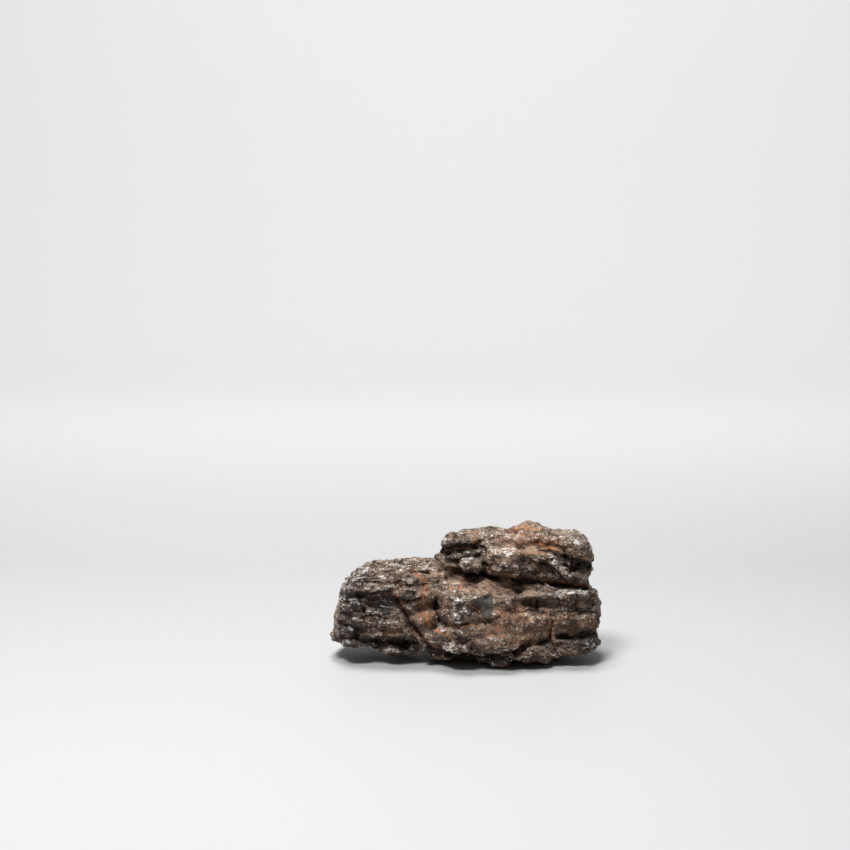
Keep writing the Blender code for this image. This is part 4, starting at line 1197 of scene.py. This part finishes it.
def with_shade(stone, colour, texture):
    """Painted shade in hollows, pits, shade lines and on what faces down; the bed gaps and smooth face are
    dark.
    """
    # Painted shade in pits, where the fine relief lies low
    colour = stone.laid(colour, SHADE, stone.ramp(texture, 0.80, 0.55), 0.85)
    colour = stone.laid(colour, CRACK, stone.gaps, 0.85)
    # Painted shade in hollows and on what faces down
    for measure, (start, full, most) in PAINTED_SHADE_IN_HOLLOWS.items():
        colour = stone.laid(colour, SHADE, stone.ramp(getattr(stone, measure), start, full), most)
    colour = stone.laid(colour, stone.mix(stone.ramp(stone.fine, 0.35, 0.65), *FACE_STONES), stone.face, 0.94)
    # Painted shade along the lines of deep shade
    shade = stone.ramp(stone.plus(stone.shade, stone.times(stone.ragged, 0.7)), 1.7, 0.4)
    return stone.laid(colour, SHADE, shade, 0.88)


def with_dust_and_highlights(stone, colour, texture):
    """Pale dust and worn edges with painted highlights: flecks and streaks that catch on what stands out."""
    high = stone.ramp(texture, 0.80, 1.15)
    fine, middle = stone.ramp(stone.fine_rise, 0.0, 0.3), stone.ramp(stone.middle_rise, 0.1, 0.7)
    # Painted highlights, with pale dust, on what stands out
    proud = stone.times(stone.number("MAXIMUM", fine, middle), stone.ramp(stone.wide_rise, -0.3, 1.2))
    # Painted highlights along the pale lines
    rim = stone.ramp(stone.plus(stone.pale, stone.ragged), 2.4, 0.2)
    share = stone.sum((stone.dust, 0.85), (proud, 0.62), (stone.dust_film_and_top_light, 0.1), (rim, 0.5))
    share = stone.number("MINIMUM", share, 1.05)
    dust = stone.times(stone.ramp(stone.sum((share, 0.9), (high, 1.12)), 1.0, 1.07), stone.rough_stone)
    tone = stone.ramp(stone.sum((stone.small_chips, 0.35), (stone.grit, 1)), 0.45, 0.72)
    return stone.laid(colour, stone.mix(tone, GREY_DUST_AND_HIGHLIGHT, DUST_AND_HIGHLIGHT), dust, 0.95)


def with_veins(stone, colour):
    """Rusty veins, paler and darker along their way, that break off here and there."""
    vein = stone.ramp(stone.plus(stone.vein, stone.ragged), 1.4, 0.2)
    broken = stone.ramp(stone.sum((stone.middle, 1), (stone.grit, 0.6)), 0.60, 0.80)
    vein = stone.times(vein, stone.sum((broken, 0.45), (0.55, 1)))
    return stone.laid(colour, stone.mix(stone.ramp(stone.grit, 0.4, 0.62), RUST, VEIN), vein, 0.95)


def stone_material():
    stone = Stone("weathered_limestone_fine")
    texture = surface_texture(stone)
    colour = with_shade(stone, with_rust_and_top_light(stone, body_colour(stone)), texture)
    specks = stone.times(stone.grains(GRAIN_SIZE, 0.16, 4), stone.ramp(stone.coarse, 0.42, 0.6))
    specks = stone.times(specks, stone.rough_stone)
    colour = with_veins(stone, stone.laid(with_dust_and_highlights(stone, colour, texture), DUST_AND_HIGHLIGHT, specks, 0.8))
    crack = stone.ramp(stone.plus(stone.crack, stone.times(stone.ragged, 0.6)), 1.4, 0.6)
    crack = stone.times(crack, stone.ramp(stone.middle, 0.35, 0.5))
    stone.put(stone.laid(colour, CRACK, crack, 0.9), stone.surface.inputs["Base Color"])

    # Dull, a little smoother on the dark stone
    shine = stone.times(stone.number("MAXIMUM", stone.dark_stone, stone.face), 0.25)
    stone.put(stone.number("SUBTRACT", DULLNESS, shine), stone.surface.inputs["Roughness"])
    stone.put(SHEEN, stone.surface.inputs["Specular IOR Level"])

    # Relief finer than the mesh
    height = stone.sum((texture, 1), (specks, 0.15), (crack, -0.7))
    bump = stone.add("ShaderNodeBump")
    stone.put(1.0, bump.inputs["Strength"])
    stone.put(BUMP_HEIGHT, bump.inputs["Distance"])
    stone.put(stone.times(height, stone.sum((stone.rough_stone, 0.85), (0.15, 1))), bump.inputs["Height"])
    stone.put(bump.outputs[0], stone.surface.inputs["Normal"])
    return stone.material


def make_rock():
    mesh = fine_rock_mesh()
    mark(mesh)
    mesh.materials.clear()
    mesh.materials.append(stone_material())
    mesh.shade_smooth()
    mesh.set_sharp_from_angle(angle=SHARP_EDGE)
    rock = linked("rock_skin", mesh)
    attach(rock, "root")
    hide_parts("pagoda_rock")


# The floor runs from FLOOR_FRONT to BEND_START and bends up there, from a first angle on, into a backdrop.
FLOOR_HALF_WIDTH = 3.5
FLOOR_FRONT = -2.5
BEND_START = 1.2
BEND_RADIUS = 0.8
BEND_FIRST = 0.15
BEND_POINTS = 12
BACKDROP_TOP = 3.0
FLOOR_COLOUR = (0.48, 0.48, 0.484, 1)
FLOOR_ROUGHNESS = 0.6


def floor_material():
    nodes = Nodes("pale_floor")
    nodes.put(FLOOR_COLOUR, nodes.surface.inputs["Base Color"])
    nodes.put(FLOOR_ROUGHNESS, nodes.surface.inputs["Roughness"])
    return nodes.material


def make_stage():
    """A pale floor that sweeps up into a backdrop."""
    profile = [(FLOOR_FRONT, 0), (BEND_START, 0)]
    for angle in np.linspace(BEND_FIRST, math.pi / 2, BEND_POINTS):
        back, up = BEND_RADIUS * math.sin(angle), BEND_RADIUS - BEND_RADIUS * math.cos(angle)
        profile.append((BEND_START + back, up))
    profile.append((BEND_START + BEND_RADIUS, BACKDROP_TOP))
    made = bmesh.new()
    sides = (-FLOOR_HALF_WIDTH, FLOOR_HALF_WIDTH)
    rows = [[made.verts.new((x, y, z)) for x in sides] for y, z in profile]
    for near, far in zip(rows, rows[1:]):
        made.faces.new([near[0], near[1], far[1], far[0]])
    sheet = bpy.data.meshes.new("floor")
    made.to_mesh(sheet)
    made.free()
    sheet.shade_smooth()
    sheet.materials.append(floor_material())
    floor = linked("floor", sheet)


# Lights: where each stands, where it points, its size in metres and its power in watts
LIGHTS = {
    "top": ((-0.1, 0.12, 1.3), (0, 0, 0), (0.5, 0.4), 15),
    "backdrop_light": ((0, 0.75, 1.05), (0, 1.95, 0.48), (3.0, 0.5), 34),
    "front": ((-0.35, -0.7, 1.25), (0, 0, 0.03), (0.35, 0.35), 19),
}
WORLD_LIGHT = 0.12


def make_lights():
    world = bpy.data.worlds.new("studio")
    world.use_nodes = True
    background = world.node_tree.nodes["Background"]
    background.inputs[0].default_value = (1, 1, 1, 1)
    background.inputs[1].default_value = WORLD_LIGHT
    bpy.context.scene.world = world
    for name, (place, target, size, power) in LIGHTS.items():
        lamp = bpy.data.lights.new(name, "AREA")
        lamp.shape = "RECTANGLE"
        lamp.size, lamp.size_y = size
        lamp.energy = power
        held = linked(name, lamp)
        held.location = place
        held.rotation_euler = (Vector(place) - Vector(target)).to_track_quat("Z", "Y").to_euler()


def make_camera():
    """Puts the rock's middle where the photograph has it, seen from the photograph's height."""
    across, down = ROCK_PIXEL[0] - PHOTO_SIZE / 2, ROCK_PIXEL[1] - PHOTO_SIZE / 2
    focal = CAMERA_DISTANCE / (PIXEL_SIZE * MM)
    pitch = VIEW_DIP - math.atan(down / focal)
    ahead = Vector((0, math.cos(pitch), -math.sin(pitch)))
    up = Vector((0, math.sin(pitch), math.cos(pitch)))
    right = Vector((1, 0, 0))
    ray = (ahead + right * (across / focal) - up * (down / focal)).normalized()
    turn = Matrix.Rotation(math.atan2(ray.x, ray.y), 3, "Z")
    lens = bpy.data.cameras.new("camera")
    lens.sensor_width = SENSOR
    lens.lens = SENSOR * focal / PHOTO_SIZE
    camera = linked("camera", lens)
    axes = Matrix((turn @ right, turn @ up, -(turn @ ahead))).transposed()
    camera.rotation_euler = axes.to_euler()
    camera.location = Vector((0, 0, VIEW_LEVEL * MM)) - turn @ ray * CAMERA_DISTANCE
    bpy.context.scene.camera = camera


make_camera()
make_stage()
make_lights()
make_rock()
bpy.context.scene.view_settings.view_transform = "Standard"
